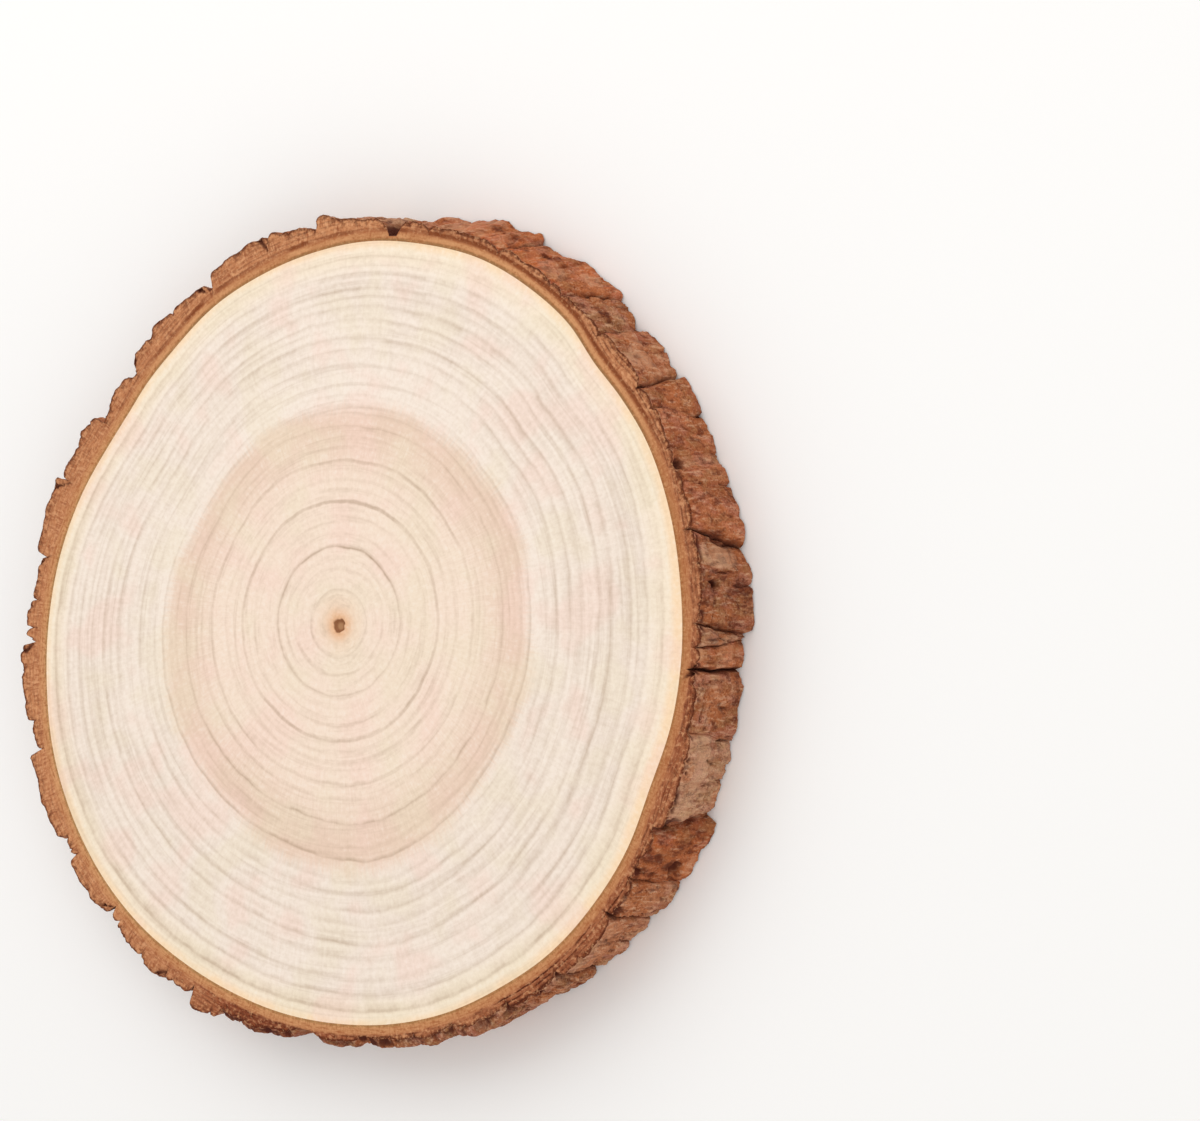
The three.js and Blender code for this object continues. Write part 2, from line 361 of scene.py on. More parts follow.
@dataclass(frozen=True)
class Trunk:
    """The outline of the wood and the way its rings grew."""

    thickness: float = 18.0
    underside_shift: Pair = (0.2, 2.0)
    pith: Pair = (-3.8, 1.8)
    ring_bow: Pair = (-1.25, 1.9)
    mean_radius: float = 89.5
    outline_step: float = 0.25
    edge: tuple[Pair, ...] = (
        (0, 89.4), (10, 89.6), (20, 90.2), (30, 90.6), (38, 90.0), (45, 89.5), (52, 91.1), (60, 91.6),
        (70, 91.8), (80, 90.9), (90, 90.2), (100, 88.9), (110, 87.7), (120, 86.7), (130, 85.0),
        (138, 84.4), (144, 83.9), (151, 84.5), (160, 86.3), (170, 88.0), (180, 89.3), (190, 90.5),
        (200, 91.8), (210, 92.2), (220, 92.1), (230, 91.4), (240, 90.2), (250, 89.4), (260, 89.1),
        (270, 88.9), (280, 89.1), (290, 89.3), (300, 89.2), (310, 89.6), (320, 89.3), (330, 88.9),
        (340, 87.9), (350, 88.9),
    )
    waves: tuple[Wave, ...] = (
        Wave(281, 17, 64, 22, 2.2), Wave(108, 24, 64, 20, 1.4), Wave(180, 22, 74, 18, 1.3),
        Wave(352, 28, 72, 20, -1.9), Wave(150, 13, 60, 16, -1.0), Wave(322, 16, 60, 18, -1.0),
        Wave(128, 14, 40, 12, 0.8),
    )

    def radius(self, degrees: np.ndarray) -> np.ndarray:
        """Radius of the wood's edge, a smooth closed curve through the edge's points.

        Args:
            degrees: Angles.

        Returns:
            Radii.
        """
        angles = np.array([point[0] for point in self.edge], float)
        radii = np.array([point[1] for point in self.edge], float)
        angles = np.concatenate([angles[-2:] - 360, angles, angles[:3] + 360])
        radii = np.concatenate([radii[-2:], radii, radii[:3]])
        turned = np.asarray(degrees, float) % 360
        index = np.clip(np.searchsorted(angles, turned, side="right") - 1, 1, len(angles) - 3)
        slopes = np.zeros_like(radii)
        slopes[1:-1] = (radii[2:] - radii[:-2]) / (angles[2:] - angles[:-2])
        span = angles[index + 1] - angles[index]
        t = (turned - angles[index]) / span
        before = (2 * t**3 - 3 * t**2 + 1) * radii[index] + (t**3 - 2 * t**2 + t) * span * slopes[index]
        after = (3 * t**2 - 2 * t**3) * radii[index + 1] + (t**3 - t**2) * span * slopes[index + 1]
        return before + after

    def rim(self, degrees: np.ndarray, level: Lengths) -> np.ndarray:
        """Points of the wood's edge.

        Args:
            degrees: Angles.
            level: Levels, which broadcast against the angles.

        Returns:
            Points, with x, y and z along the last axis.
        """
        level = np.asarray(level, float)
        right, up = (size * (1 - level) for size in self.underside_shift)
        return polar(self.radius(degrees), np.radians(degrees), self.thickness * level, (right, up))

    def frame_shift(self) -> np.ndarray:
        """Works out where the drawing's origin lies in the frame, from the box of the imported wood.

        Returns:
            The place of the origin.
        """
        angles = np.arange(0, 360, self.outline_step)
        points = np.concatenate([self.rim(angles, 1.0), self.rim(angles, 0.0)])[:, :2]
        middle = (points.min(axis=0) + points.max(axis=0)) / 2
        low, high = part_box("wood_disc")
        packed = np.array([low.x + high.x, low.y + high.y]) / 2 / MM
        return np.array([*(packed - middle), 0.0])

    def grown(self, degrees: np.ndarray, share: np.ndarray) -> tuple[np.ndarray, np.ndarray]:
        """Points of the face along its rings.

        Args:
            degrees: Angles.
            share: How far out each point grew, from 0 at the pith to 1 at the edge.

        Returns:
            Points in the plane of the face, and the age of the wood there as a radius.
        """
        turn = np.radians(degrees)
        bow = 27 / 4 * share * (1 - share) ** 2  # 1 at its most, a third of the way out
        reach = share * (self.mean_radius + (self.radius(degrees) - self.mean_radius) * share)
        x = self.pith[0] * (1 - share) + self.ring_bow[0] * bow + reach * np.cos(turn)
        y = self.pith[1] * (1 - share) + self.ring_bow[1] * bow + reach * np.sin(turn)
        growth = share * self.mean_radius
        swell = np.zeros_like(growth)
        for wave in self.waves:
            across = ((degrees - wave.angle + 180) % 360 - 180) / wave.half_angle
            out = (growth - wave.growth) / wave.half_growth
            swell += wave.height * np.exp(-(across**2) - out**2)
        return np.stack([x, y], axis=-1), growth - swell


def polar(
    radius: Lengths, turn: np.ndarray, height: Lengths, shift: tuple[Lengths, Lengths] = (0.0, 0.0)
) -> np.ndarray:
    """Turns radii and directions into points.

    Args:
        radius: Distances from the origin.
        turn: Directions in radians.
        height: Heights.
        shift: What is added to x and to y.

    Returns:
        Points, with x, y and z along the last axis.
    """
    x, y = radius * np.cos(turn) + shift[0], radius * np.sin(turn) + shift[1]
    return np.stack(np.broadcast_arrays(x, y, height), axis=-1)


def bands(grid: np.ndarray) -> np.ndarray:
    """Joins the rows of a grid of points that closes on itself, each row to the next.

    Args:
        grid: Point numbers, by row and column.

    Returns:
        Faces, as rows of four point numbers.
    """
    following = np.roll(grid, -1, axis=1)
    return np.stack([grid[1:], following[1:], following[:-1], grid[:-1]], axis=-1).reshape(-1, 4)


def mesh_piece(
    name: str, points: np.ndarray, faces: np.ndarray, shift: np.ndarray, sharp_angle: float
) -> bpy.types.Object:
    """Makes an object from points in millimetres and four-sided or three-sided faces.

    Args:
        name: Name of the piece.
        points: Points, one row each.
        faces: Rows of four point numbers, the last one NO_POINT in a triangle.
        shift: Place of the drawing's origin in the frame.
        sharp_angle: Edges bent by more than this many degrees stay sharp.

    Returns:
        The linked object.
    """
    mesh = bpy.data.meshes.new(name)
    rows = [row[:3] if row[3] == NO_POINT else row for row in faces.tolist()]
    mesh.from_pydata(((points + shift) * MM).tolist(), [], rows)
    mesh.validate()
    mesh.shade_smooth()
    mesh.set_sharp_from_angle(angle=math.radians(sharp_angle))
    piece = bpy.data.objects.new(name, mesh)
    bpy.context.scene.collection.objects.link(piece)
    return piece


def store(piece: bpy.types.Object, name: str, values: np.ndarray) -> None:
    """Stores values on a piece for its material to read.

    Args:
        piece: The piece.
        name: Name that the material reads them by.
        values: A number or a vector for each point.
    """
    kind, key = ("FLOAT", "value") if values.ndim == 1 else ("FLOAT_VECTOR", "vector")
    attribute = piece.data.attributes.new(name, kind, "POINT")
    attribute.data.foreach_set(key, values.astype(np.float32).ravel())


def store_map(piece: bpy.types.Object, places: np.ndarray) -> None:
    """Stores where each face corner lies on the flat map that patterns are baked on."""
    layer = piece.data.uv_layers.new(name="OFBake", do_init=False)
    layer.data.foreach_set("uv", places.astype(np.float32).ravel())


# Finish of the wood


@dataclass(frozen=True)
class Ring:
    """A dark line of late wood.

    It is the given share stronger towards the peak's angle than on average, and weaker opposite.
    """

    radius: float
    half_width: float
    strength: float
    swing: float = 0.0
    peak: float = 0.0


RINGS = make_all(
    Ring,
    (4.6, 0.5, 0.18), (7.8, 0.42, 0.45, 0.2, 30), (10.4, 0.5, 0.14), (12.4, 0.42, 0.3, 0.3, 240),
    (15.0, 0.5, 0.14, 0.6, 130), (17.3, 0.37, 1.0, 0.3, 80), (20.2, 0.5, 0.14),
    (24.2, 0.6, 0.18, 0.5, 10), (27.6, 0.38, 0.98, 0.25, 80), (30.2, 0.5, 0.2, 0.4, 300),
    (32.6, 0.5, 0.32, 0.4, 320),
    (37.0, 0.42, 0.62, 0.4, 130), (40.2, 0.45, 0.3, 0.6, 225), (45.0, 0.4, 0.66, 0.4, 270),
    (48.0, 0.5, 0.2, 0.4, 140), (49.8, 0.5, 0.3, 0.4, 20), (52.3, 0.42, 0.5, 0.8, 275),
    (56.8, 0.7, 0.24, 0.5, 280), (59.4, 0.65, 0.42), (62.9, 0.7, 0.4, 0.5, 330),
    (65.9, 0.75, 0.48, 0.3, 100), (68.4, 0.7, 0.26, 0.3, 250), (70.3, 0.65, 0.54, 0.2, 300),
    (73.6, 0.8, 0.44, 0.5, 20), (76.0, 0.7, 0.24, 0.3, 60), (78.3, 0.8, 0.44), (80.1, 0.6, 0.2),
    (82.0, 0.65, 0.48), (85.8, 0.65, 0.58, 0.6, 255),
)


@dataclass(frozen=True)
class SandedWood:
    """End grain of pale softwood, sanded: heartwood, sapwood, rings and rays.

    A pair holds the radii between which a tone comes in, from where it starts to where it is full.
    """

    pith: Colour = tone(150, 98, 62)
    pith_core: Colour = tone(190, 142, 100)
    glow: Colour = tone(234, 176, 128)
    halo: Colour = tone(243, 211, 182)
    heart: Colour = tone(247, 225, 206)
    heart_rim: Colour = tone(237, 209, 188)
    sap: Colour = tone(247, 232, 218)
    yellowed: Colour = tone(249, 232, 209)
    rim: Colour = tone(253, 220, 181)
    line: Colour = tone(178, 150, 124)
    light: Colour = tone(255, 249, 240)
    pink: Colour = tone(248, 214, 200)
    cream: Colour = tone(240, 226, 198)
    heart_edge: Pair = (54.4, 48.8)
    heart_rim_inside: Pair = (33.0, 49.0)
    heart_rim_outside: Pair = (54.6, 49.2)
    yellow_from: Pair = (80.5, 86.5)
    rim_from: Pair = (86.9, 89.2)
    halo_reach: Pair = (8.5, 3.5)
    glow_reach: Pair = (4.8, 1.5)
    core_reach: Pair = (1.0, 0.2)
    rings_a_ramp: int = 8
    ramp_reach: float = 100.0
    crisp_reach: float = 1.6
    soft_reach: float = 4.2
    soft_from: float = 55.0
    soft_share: float = 0.42
    line_strength: float = 0.6
    roughness: float = 0.6
    grain_depth: float = 0.05
    shine: float = 0.25

    def _lines(self, shader: Shader, growth: Value) -> Value:
        """Adds up the ring lines, a few to a ramp; in the sapwood their inner sides fade out slowly.

        Args:
            shader: The material's shader.
            growth: How far out the wood grew, as a radius.

        Returns:
            The strength of the lines, 0 between them.
        """
        scale = 1 / self.ramp_reach
        total: Number = 0.0
        for first in range(0, len(RINGS), self.rings_a_ramp):
            stops: list[Pair] = []
            end = 0.0
            for ring in RINGS[first : first + self.rings_a_ramp]:
                soft = ring.radius > self.soft_from
                reach = (self.soft_reach if soft else self.crisp_reach) * ring.half_width
                stops.append((max(ring.radius - reach, end), 0.0))
                if soft:
                    stops.append((ring.radius - ring.half_width, ring.strength * self.soft_share))
                end = ring.radius + ring.half_width
                stops += [(ring.radius, ring.strength), (end, 0.0)]
            greys = tuple((radius * scale, (strength,) * 3 + (1.0,)) for radius, strength in stops)
            total = total + Value(shader, shader.ramp(growth * scale, greys))
        return total

    def material(self) -> bpy.types.Material:
        """Builds the material.

        The mesh stores growth, a radius; heart, the same as the heartwood sees it; vigour, how strong
        the ring lines are; ray, a direction with the growth as its height; and pith, 1 in its hollow.

        Returns:
            The material.
        """
        shader = Shader("sanded_wood")
        place = shader.place()
        ray = shader.direction("ray")
        broad = shader.grain(place, 36, 3, 0.6)
        patchy = shader.grain(place, 90, 3)
        fine = shader.grain(place, 900, 3, 0.65)
        wavy = shader.grain(place, 230, 2)
        blush = shader.grain(place, 75, 2)
        strands = shader.grain(ray, (120, 120, 0.16), 3, 0.65)
        arcs = shader.grain(ray, (1.6, 1.6, 0.8), 3, 0.6)
        growth = shader.attribute("growth") + (patchy - 0.5) * 1.3 + (wavy - 0.5) * 0.8
        heart = shader.attribute("heart") + (broad - 0.5) * 11.0 + (strands - 0.5) * 7.0

        lines = self._lines(shader, growth) * shader.attribute("vigour")
        lines = lines * (0.45 + patchy.rise(0.36, 0.64) * 0.65 + wavy.rise(0.3, 0.7) * 0.3)
        shading = lines * self.line_strength + arcs.rise(0.46, 0.76) * 0.22
        shading = shading + (strands - 0.5) * 0.24 + (fine - 0.5) * 0.5
        heart_rim = heart.rise(*self.heart_rim_inside) * heart.rise(*self.heart_rim_outside)
        colour = shader.over(
            self.sap,
            (heart.rise(*self.heart_edge), self.heart),
            (heart_rim, self.heart_rim),
            (growth.rise(*self.yellow_from), self.yellowed),
            (0.9 * growth.rise(*self.rim_from), self.rim),
            (0.4 * blush.rise(0.5, 0.66), self.pink),
            (0.35 * blush.rise(0.5, 0.34), self.cream),
            (0.6 * growth.rise(*self.halo_reach), self.halo),
            (0.8 * growth.rise(*self.glow_reach), self.glow),
            (shading.clamped(), self.line),
            ((shading * -2.2).clamped(), self.light),
            (shader.attribute("pith").rise(0.02, 0.45), self.pith),
            (0.7 * growth.rise(*self.core_reach), self.pith_core),
        )
        normal = shader.bump(1 - lines * 0.5 + strands * 0.4 + fine * 0.25, self.grain_depth)
        roughness = self.roughness + (patchy - 0.5) * 0.12
        return shader.surface(colour, roughness, normal, self.shine)


@dataclass
class WoodDisc:
    """The disc of wood, from the pith to the bark."""

    trunk: Trunk
    finish: SandedWood = field(default_factory=SandedWood)
    columns: int = 360
    rows: int = 44
    pith_rows: int = 6
    pith_radius: float = 1.6
    pith_depth: float = 0.7
    pith_reach: float = 1.5
    pith_ragged: float = 0.16
    pith_slope: Pair = (1.15, 0.6)
    heart_lean: float = 2.4
    heart_side: float = 290.0
    sharp_angle: float = 30.0
    map_half: float = 0.29
    map_reach: float = 97.0
    map_corner: float = 0.01
    map_wall: Pair = (0.2, 0.1)
    piece: bpy.types.Object | None = None

    def _shares(self) -> np.ndarray:
        """Spaces out the rings of points, closer together in the hollow of the pith.

        Returns:
            Their shares of growth, from the outermost inwards, without the centre.
        """
        pith = self.pith_reach * self.pith_radius / self.trunk.mean_radius
        outer = np.linspace(1.0, pith, self.rows, endpoint=False)
        return np.concatenate([outer, np.linspace(pith, 0.0, self.pith_rows, endpoint=False)])

    def _face(self, face: Face) -> tuple[np.ndarray, dict[str, np.ndarray]]:
        """Lays out one sawn face.

        Args:
            face: Which face.

        Returns:
            Points, and the values stored with them, the centre last.
        """
        angles = np.arange(self.columns) * 360 / self.columns
        degrees, shares = np.meshgrid(angles, np.append(self._shares(), 0.0))
        flat, growth = self.trunk.grown(degrees, shares)
        turn = np.radians(degrees)
        uneven = self.pith_ragged * noise(3 + 2.1 * np.cos(turn), 5 + 2.1 * np.sin(turn))
        ragged = self.pith_radius * (1 + uneven)
        pith = ease(shares * self.trunk.mean_radius / ragged, *self.pith_slope)
        inwards = self.pith_depth * pith
        height = self.trunk.thickness - inwards if face is Face.UPPER else inwards
        level = face.value
        flat = flat + np.array(self.trunk.underside_shift) * (1 - level)
        points = np.concatenate([flat, height[..., None]], axis=-1)
        ray = polar(1.0, turn, shares * self.trunk.mean_radius)
        last = len(shares) - 1
        ray[last] = 0.0
        radii = [ring.radius for ring in RINGS]
        vigour = np.ones_like(growth)
        for wave, offset in ((np.cos(turn), 0.0), (np.sin(turn), 90.0)):
            swings = [ring.swing * math.cos(math.radians(ring.peak - offset)) for ring in RINGS]
            vigour += np.interp(growth, radii, swings) * wave
        heart = growth - self.heart_lean * np.cos(turn - math.radians(self.heart_side))
        values = {"growth": growth, "heart": heart, "vigour": vigour, "pith": pith}
        keep = last * self.columns + 1
        stored = {name: value.ravel()[:keep] for name, value in values.items()}
        stored["ray"] = ray.reshape(-1, 3)[:keep]
        return points.reshape(-1, 3)[:keep], stored

    def _face_rows(self, start: int, face: Face) -> np.ndarray:
        """Joins one face's points.

        Args:
            start: Number of the face's first point.
            face: Which face, which decides the side that the faces look to.

        Returns:
            Faces, as rows of point numbers.
        """
        rings = len(self._shares())
        grid = start + np.arange(rings * self.columns).reshape(rings, self.columns)
        hub = np.full(self.columns, start + grid.size)
        squares = bands(grid)
        fan = np.stack([hub, np.roll(grid[-1], -1), grid[-1]], axis=1)
        if face is Face.UPPER:
            squares, fan = squares[:, ::-1], fan[:, ::-1]
        return np.concatenate([squares, np.insert(fan, 3, NO_POINT, axis=1)])

    def build(self, shift: np.ndarray) -> None:
        """Makes the disc's mesh, its stored values and its map.

        Args:
            shift: Place of the drawing's origin in the frame.
        """
        upper, upper_values = self._face(Face.UPPER)
        lower, lower_values = self._face(Face.LOWER)
        count = len(upper)
        points = np.concatenate([upper, lower])
        top = np.arange(self.columns)
        following = np.roll(top, -1)
        wall = np.stack([top, count + top, count + following, following], axis=1)
        sides = [self._face_rows(0, Face.UPPER), self._face_rows(count, Face.LOWER), wall]
        self.piece = mesh_piece(
            "wood_disc_sanded", points, np.concatenate(sides), shift, self.sharp_angle
        )
        for name, values in upper_values.items():
            store(self.piece, name, np.concatenate([values, lower_values[name]]))
        self._map(points, count)

    def _map(self, points: np.ndarray, count: int) -> None:
        """Lays both faces flat on the map, corner to corner, and the hidden wall in a corner.

        Args:
            points: All points of the disc.
            count: How many of them belong to the upper face.
        """
        mesh = self.piece.data
        loops = np.zeros(len(mesh.loops), int)
        mesh.loops.foreach_get("vertex_index", loops)
        sizes = np.zeros(len(mesh.polygons), int)
        mesh.polygons.foreach_get("loop_total", sizes)
        face_of_loop = np.repeat(np.arange(len(sizes)), sizes)
        half = self.map_half
        flat = points[:, :2] * (half / self.map_reach)
        upper = np.array([half, 1 - half]) + flat
        lower = np.array([1 - half, half]) + flat * np.array([-1, 1])
        places = np.where((loops < count)[:, None], upper[loops], lower[loops])
        wall = face_of_loop >= len(sizes) - self.columns
        angle = np.arctan2(points[loops, 1], points[loops, 0]) / (2 * math.pi) + 0.5
        around, down = self.map_wall[0] * angle, self.map_wall[1] * (loops < count)
        places[wall] = self.map_corner + np.stack([around, down], axis=1)[wall]
        store_map(self.piece, places)

    def dress(self) -> None:
        """Gives the disc its finish and its place in the frame."""
        self.piece.data.materials.append(self.finish.material())
        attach(self.piece, "root")
        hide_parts("wood_disc")


# Shape and finish of the bark


@dataclass(frozen=True)
class Plate:
    """A plate of bark and the crack that follows it.

    The upper and lower radii are those of its sawn edges at its start and end. The crack's floor is a
    radius at the upper edge, low is the crack's depth at the lower edge against the upper one, and the
    drift is the angle that the crack moves on its way down. The shoulder is how far the side stands out
    past the edge of the saw cut. Pale runs from -1 to 1 and rust, how orange the plate is, from 0 to 1.
    The low pale of the plates at the bottom of the ring, from about 250 to 290 degrees, is painted shade.
    """

    start: float
    end: float
    upper_start: float
    upper_end: float
    lower_start: float
    lower_end: float
    floor: float
    drift: float
    low: float
    shoulder: float
    pale: float
    rust: float


PLATES = make_all(
    Plate,
    (4.4, 16.4, 94.2, 94.6, 96.5, 96.6, 92.8, -2.8, 0.85, 0.5, -0.5, 0.2),
    (17.3, 24.9, 94.6, 94.9, 97.6, 96.0, 94.5, 0.6, 0.9, 0.5, -0.35, 0.5),
    (26.7, 37.1, 95.2, 95.8, 95.9, 97.5, 94.5, 1.8, 1.2, 0.2, -0.3, 0.5),
    (38.2, 46.8, 96.3, 95.8, 96.6, 96.6, 94.2, 1.0, 0.6, 0, 0.3, 0.5),
    (47.8, 55.0, 95.2, 95.8, 95.8, 98.2, 94.6, -2.2, 0.85, 0, 0.1, 0.2),
    (55.8, 67.3, 95.8, 96.0, 99.0, 98.2, 94.7, 0.4, 0.85, 0, -0.15, 0.9),
    (68.0, 79.3, 96.0, 95.4, 99.6, 98.2, 93.9, 0.2, 0.85, 0, 0.2, 0.9),
    (80.1, 84.1, 95.2, 94.8, 97.3, 96.8, 91.7, 0.8, 0.3, 0, 0.0, 0.6),
    (87.3, 98.9, 95.4, 96.5, 95.8, 96.4, 93.6, 0.5, 0.85, 0, 0.2, 0.0),
    (99.8, 107.4, 94.7, 95.9, 95.6, 96.0, 94.6, -0.7, 0.85, 0, -0.1, 0.4),
    (108.0, 118.8, 96.2, 93.6, 96.4, 94.8, 90.9, 0.9, 0.85, 0, -0.3, 0.1),
    (120.5, 127.0, 92.5, 92.4, 93.4, 93.2, 91.3, -0.5, 0.85, 0, 0.3, 0.3),
    (127.6, 137.4, 92.6, 92.0, 93.4, 92.8, 88.7, 0.7, 0.85, 0, 0.0, 0.6),
    (139.8, 146.6, 90.4, 89.1, 91.2, 90.8, 88.6, -0.8, 0.85, 0, 0.2, 0.0),
    (148.3, 158.4, 92.2, 93.3, 92.6, 93.6, 91.6, 0.4, 0.85, 0, -0.1, 0.4),
    (159.0, 170.1, 95.0, 95.0, 94.8, 95.0, 92.1, -0.6, 0.85, 0, -0.3, 0.1),
    (171.2, 176.9, 93.2, 94.4, 93.6, 94.2, 93.2, 0.5, 0.85, 0, 0.3, 0.3),
    (177.4, 180.9, 95.0, 96.8, 95.0, 95.8, 93.9, 0.2, 0.85, 0, 0.0, 0.6),
    (181.5, 182.8, 95.9, 95.6, 95.4, 95.4, 93.6, 0.1, 0.85, 0, 0.2, 0.0),
    (183.8, 194.3, 97.8, 97.7, 97.2, 96.8, 95.6, 0.8, 0.85, 0, -0.1, 0.4),
    (195.0, 198.5, 96.2, 96.2, 95.8, 95.6, 94.9, -0.6, 0.85, 0, -0.3, 0.1),
    (199.3, 211.7, 99.1, 98.6, 97.4, 97.2, 96.0, 0.5, 0.85, 0, 0.3, 0.3),
    (212.4, 214.9, 96.8, 96.8, 96.0, 95.9, 95.6, 0.7, 0.85, 0, 0.0, 0.6),
    (215.5, 224.9, 98.5, 97.5, 96.8, 96.2, 93.4, -1.1, 0.85, 0, 0.2, 0.0),
    (226.0, 227.3, 96.6, 96.3, 95.2, 95.3, 95.0, 0.3, 0.85, 0, -0.1, 0.4),
    (227.6, 238.0, 97.2, 97.2, 95.5, 95.6, 95.2, 0.6, 0.85, 0, -0.3, 0.1),
    (238.6, 243.0, 96.5, 95.5, 95.0, 94.2, 93.1, 0.9, 0.85, 0, 0.3, 0.3),
    (244.1, 248.9, 97.5, 97.1, 95.6, 95.4, 94.9, -0.5, 0.85, 0, 0.0, 0.6),
    # The next plates, at the bottom of the ring, get their low pale as painted shade
    (249.6, 261.6, 94.9, 93.1, 94.3, 92.8, 91.4, 0.6, 0.85, 1.6, -1.4, 0.1),
    (266.9, 274.7, 92.6, 92.4, 91.6, 91.4, 91.6, 0.3, 0.85, 1.2, -0.9, 0.1),
    (275.5, 289.8, 92.7, 93.0, 92.2, 93.3, 92.2, -0.5, 0.85, 2.2, -0.4, 0.1),
    (290.5, 299.6, 93.3, 93.6, 93.4, 92.2, 92.6, 0.6, 0.85, 2.6, -0.1, 0.1),
    (300.4, 308.4, 94.6, 95.2, 93.2, 93.9, 94.2, 0.4, 2.0, 0.8, -0.2, 0.1),
    (309.8, 320.5, 95.5, 95.7, 94.0, 94.8, 92.8, -0.4, 0.85, 0, 0.5, 0.2),
    (321.5, 326.7, 94.8, 94.4, 94.8, 96.0, 92.8, 0.2, 0.85, 0.6, 0.1, 0.1),
    (327.5, 334.3, 94.0, 93.4, 96.2, 96.6, 92.6, 2.6, 1.3, 0.8, -0.7, 0.7),
    (335.6, 348.9, 94.5, 94.4, 94.6, 94.1, 93.2, -0.9, 0.6, 0.6, 0.5, 0.0),
    (349.5, 357.1, 93.3, 93.0, 94.2, 94.6, 90.6, 0.1, 0.85, 1.0, 0.2, 0.2),
    (358.2, 360.4, 93.7, 93.8, 94.8, 94.9, 92.6, 1.2, 0.85, 0.7, 0.2, 0.7),
    (361.0, 363.5, 93.8, 93.9, 94.9, 95.0, 92.6, -1.3, 0.85, 0.6, 0.5, 0.0),
)


@dataclass(frozen=True)
class Spot:
    """An oval place on the side, with how deep a hollow is there or how much paler the bark is."""

    angle: float
    height: float
    half_width: float
    half_height: float
    amount: float


@dataclass(frozen=True)
class Pattern:
    """Noise in layers, each a row: strength, size of a cell along and up, start along and up."""

    layers: tuple[tuple[float, float, float, float, float], ...]

    def at(self, along: np.ndarray, up: Lengths = 0.0) -> np.ndarray:
        """Works out the pattern.

        Args:
            along: Place round the bark.
            up: Height, or another number that changes across the bark.

        Returns:
            The sum of the layers at each point.
        """
        return sum(
            strength * noise(along / cell + start, up / cell_up + start_up)
            for strength, cell, cell_up, start, start_up in self.layers
        )


@dataclass(frozen=True)
class Relief:
    """How rough the bark is, from its plates down to its fibres.

    The patterns from flake_edge to hollow_edge are those of the side, the others of the sawn faces.
    """

    column_step: float = 1.12
    crack_spacing: float = 4.2
    cross_crack_spacing: float = 9.0
    narrow_crack: float = 1.2
    min_bark: float = 0.8
    crown: float = 0.35
    ridges_per_degree: float = 0.55
    ridge_length: float = 16.0
    ridge_height: float = 0.4
    flake_length: float = 5.5
    flake_step: float = 0.6
    flake_seed: int = 5
    floor_roughness: float = 0.35
    scale_step: float = 0.16
    scar_depth: float = 0.4
    fibre_height: float = 0.13
    edge_wear: float = 0.4
    shoulder_height: float = 1.6
    gap_depth: float = 0.45
    scale_steps: float = 3.4
    scale_pale: float = 0.35
    flake_pale: float = 0.3
    gap_shade: float = 1.1
    flake_shade: float = 0.7
    scar_edge: Pair = (0.22, 0.32)
    wear_reach: float = 0.9
    chip_reach: float = 0.8
    chip_depth: float = 0.32
    seam_depth: float = 0.22
    seam_half_width: float = 0.22
    crumb_depth: float = 0.07
    flake_edge: Pattern = Pattern(((1.3, 3.0, 1, 0, 0), (0.5, 0.8, 1, 0, 0.5)))
    swirl: Pattern = Pattern(((0.62, 4.6, 7.5, 9, 1), (0.38, 1.9, 3.2, 40, 0)))
    scars: Pattern = Pattern(((1, 7.5, 9.5, 77, 13), (0.25, 1.6, 2.2, 0, 0)))
    fibres: Pattern = Pattern(((1, 0.95, 8.0, 0, 0), (0.55, 0.55, 4.0, 17, 0)))
    gaps: Pattern = Pattern(((1, 1.5, 0.7, 0, 2.5),))
    groove_edge: Pattern = Pattern(((0.12, 0.7, 0.9, 0, 0),))
    hollow_edge: Pattern = Pattern(((0.45, 1.1, 1.1, 0, 0), (0.25, 0.5, 0.5, 0, 0)))
    flow: Pattern = Pattern(((0.35, 9.0, 1, 0, 4.5), (0.12, 1.8, 1, 0, 8.5)))
    seam_gaps: Pattern = Pattern(((1, 6.0, 1.4, 3, 0),))
    first_gaps: Pattern = Pattern(((1, 5.0, 1, 0, 7.5),))
    crumbs: Pattern = Pattern(((1, 1.3, 0.5, 0, 0), (0.6, 0.5, 0.4, 5, 0)))
    chips: Pattern = Pattern(((1, 2.0, 1, 5, 2.5),))
    cut_groove_edge: Pattern = Pattern(((0.24, 0.9, 0.7, 0, 0),))


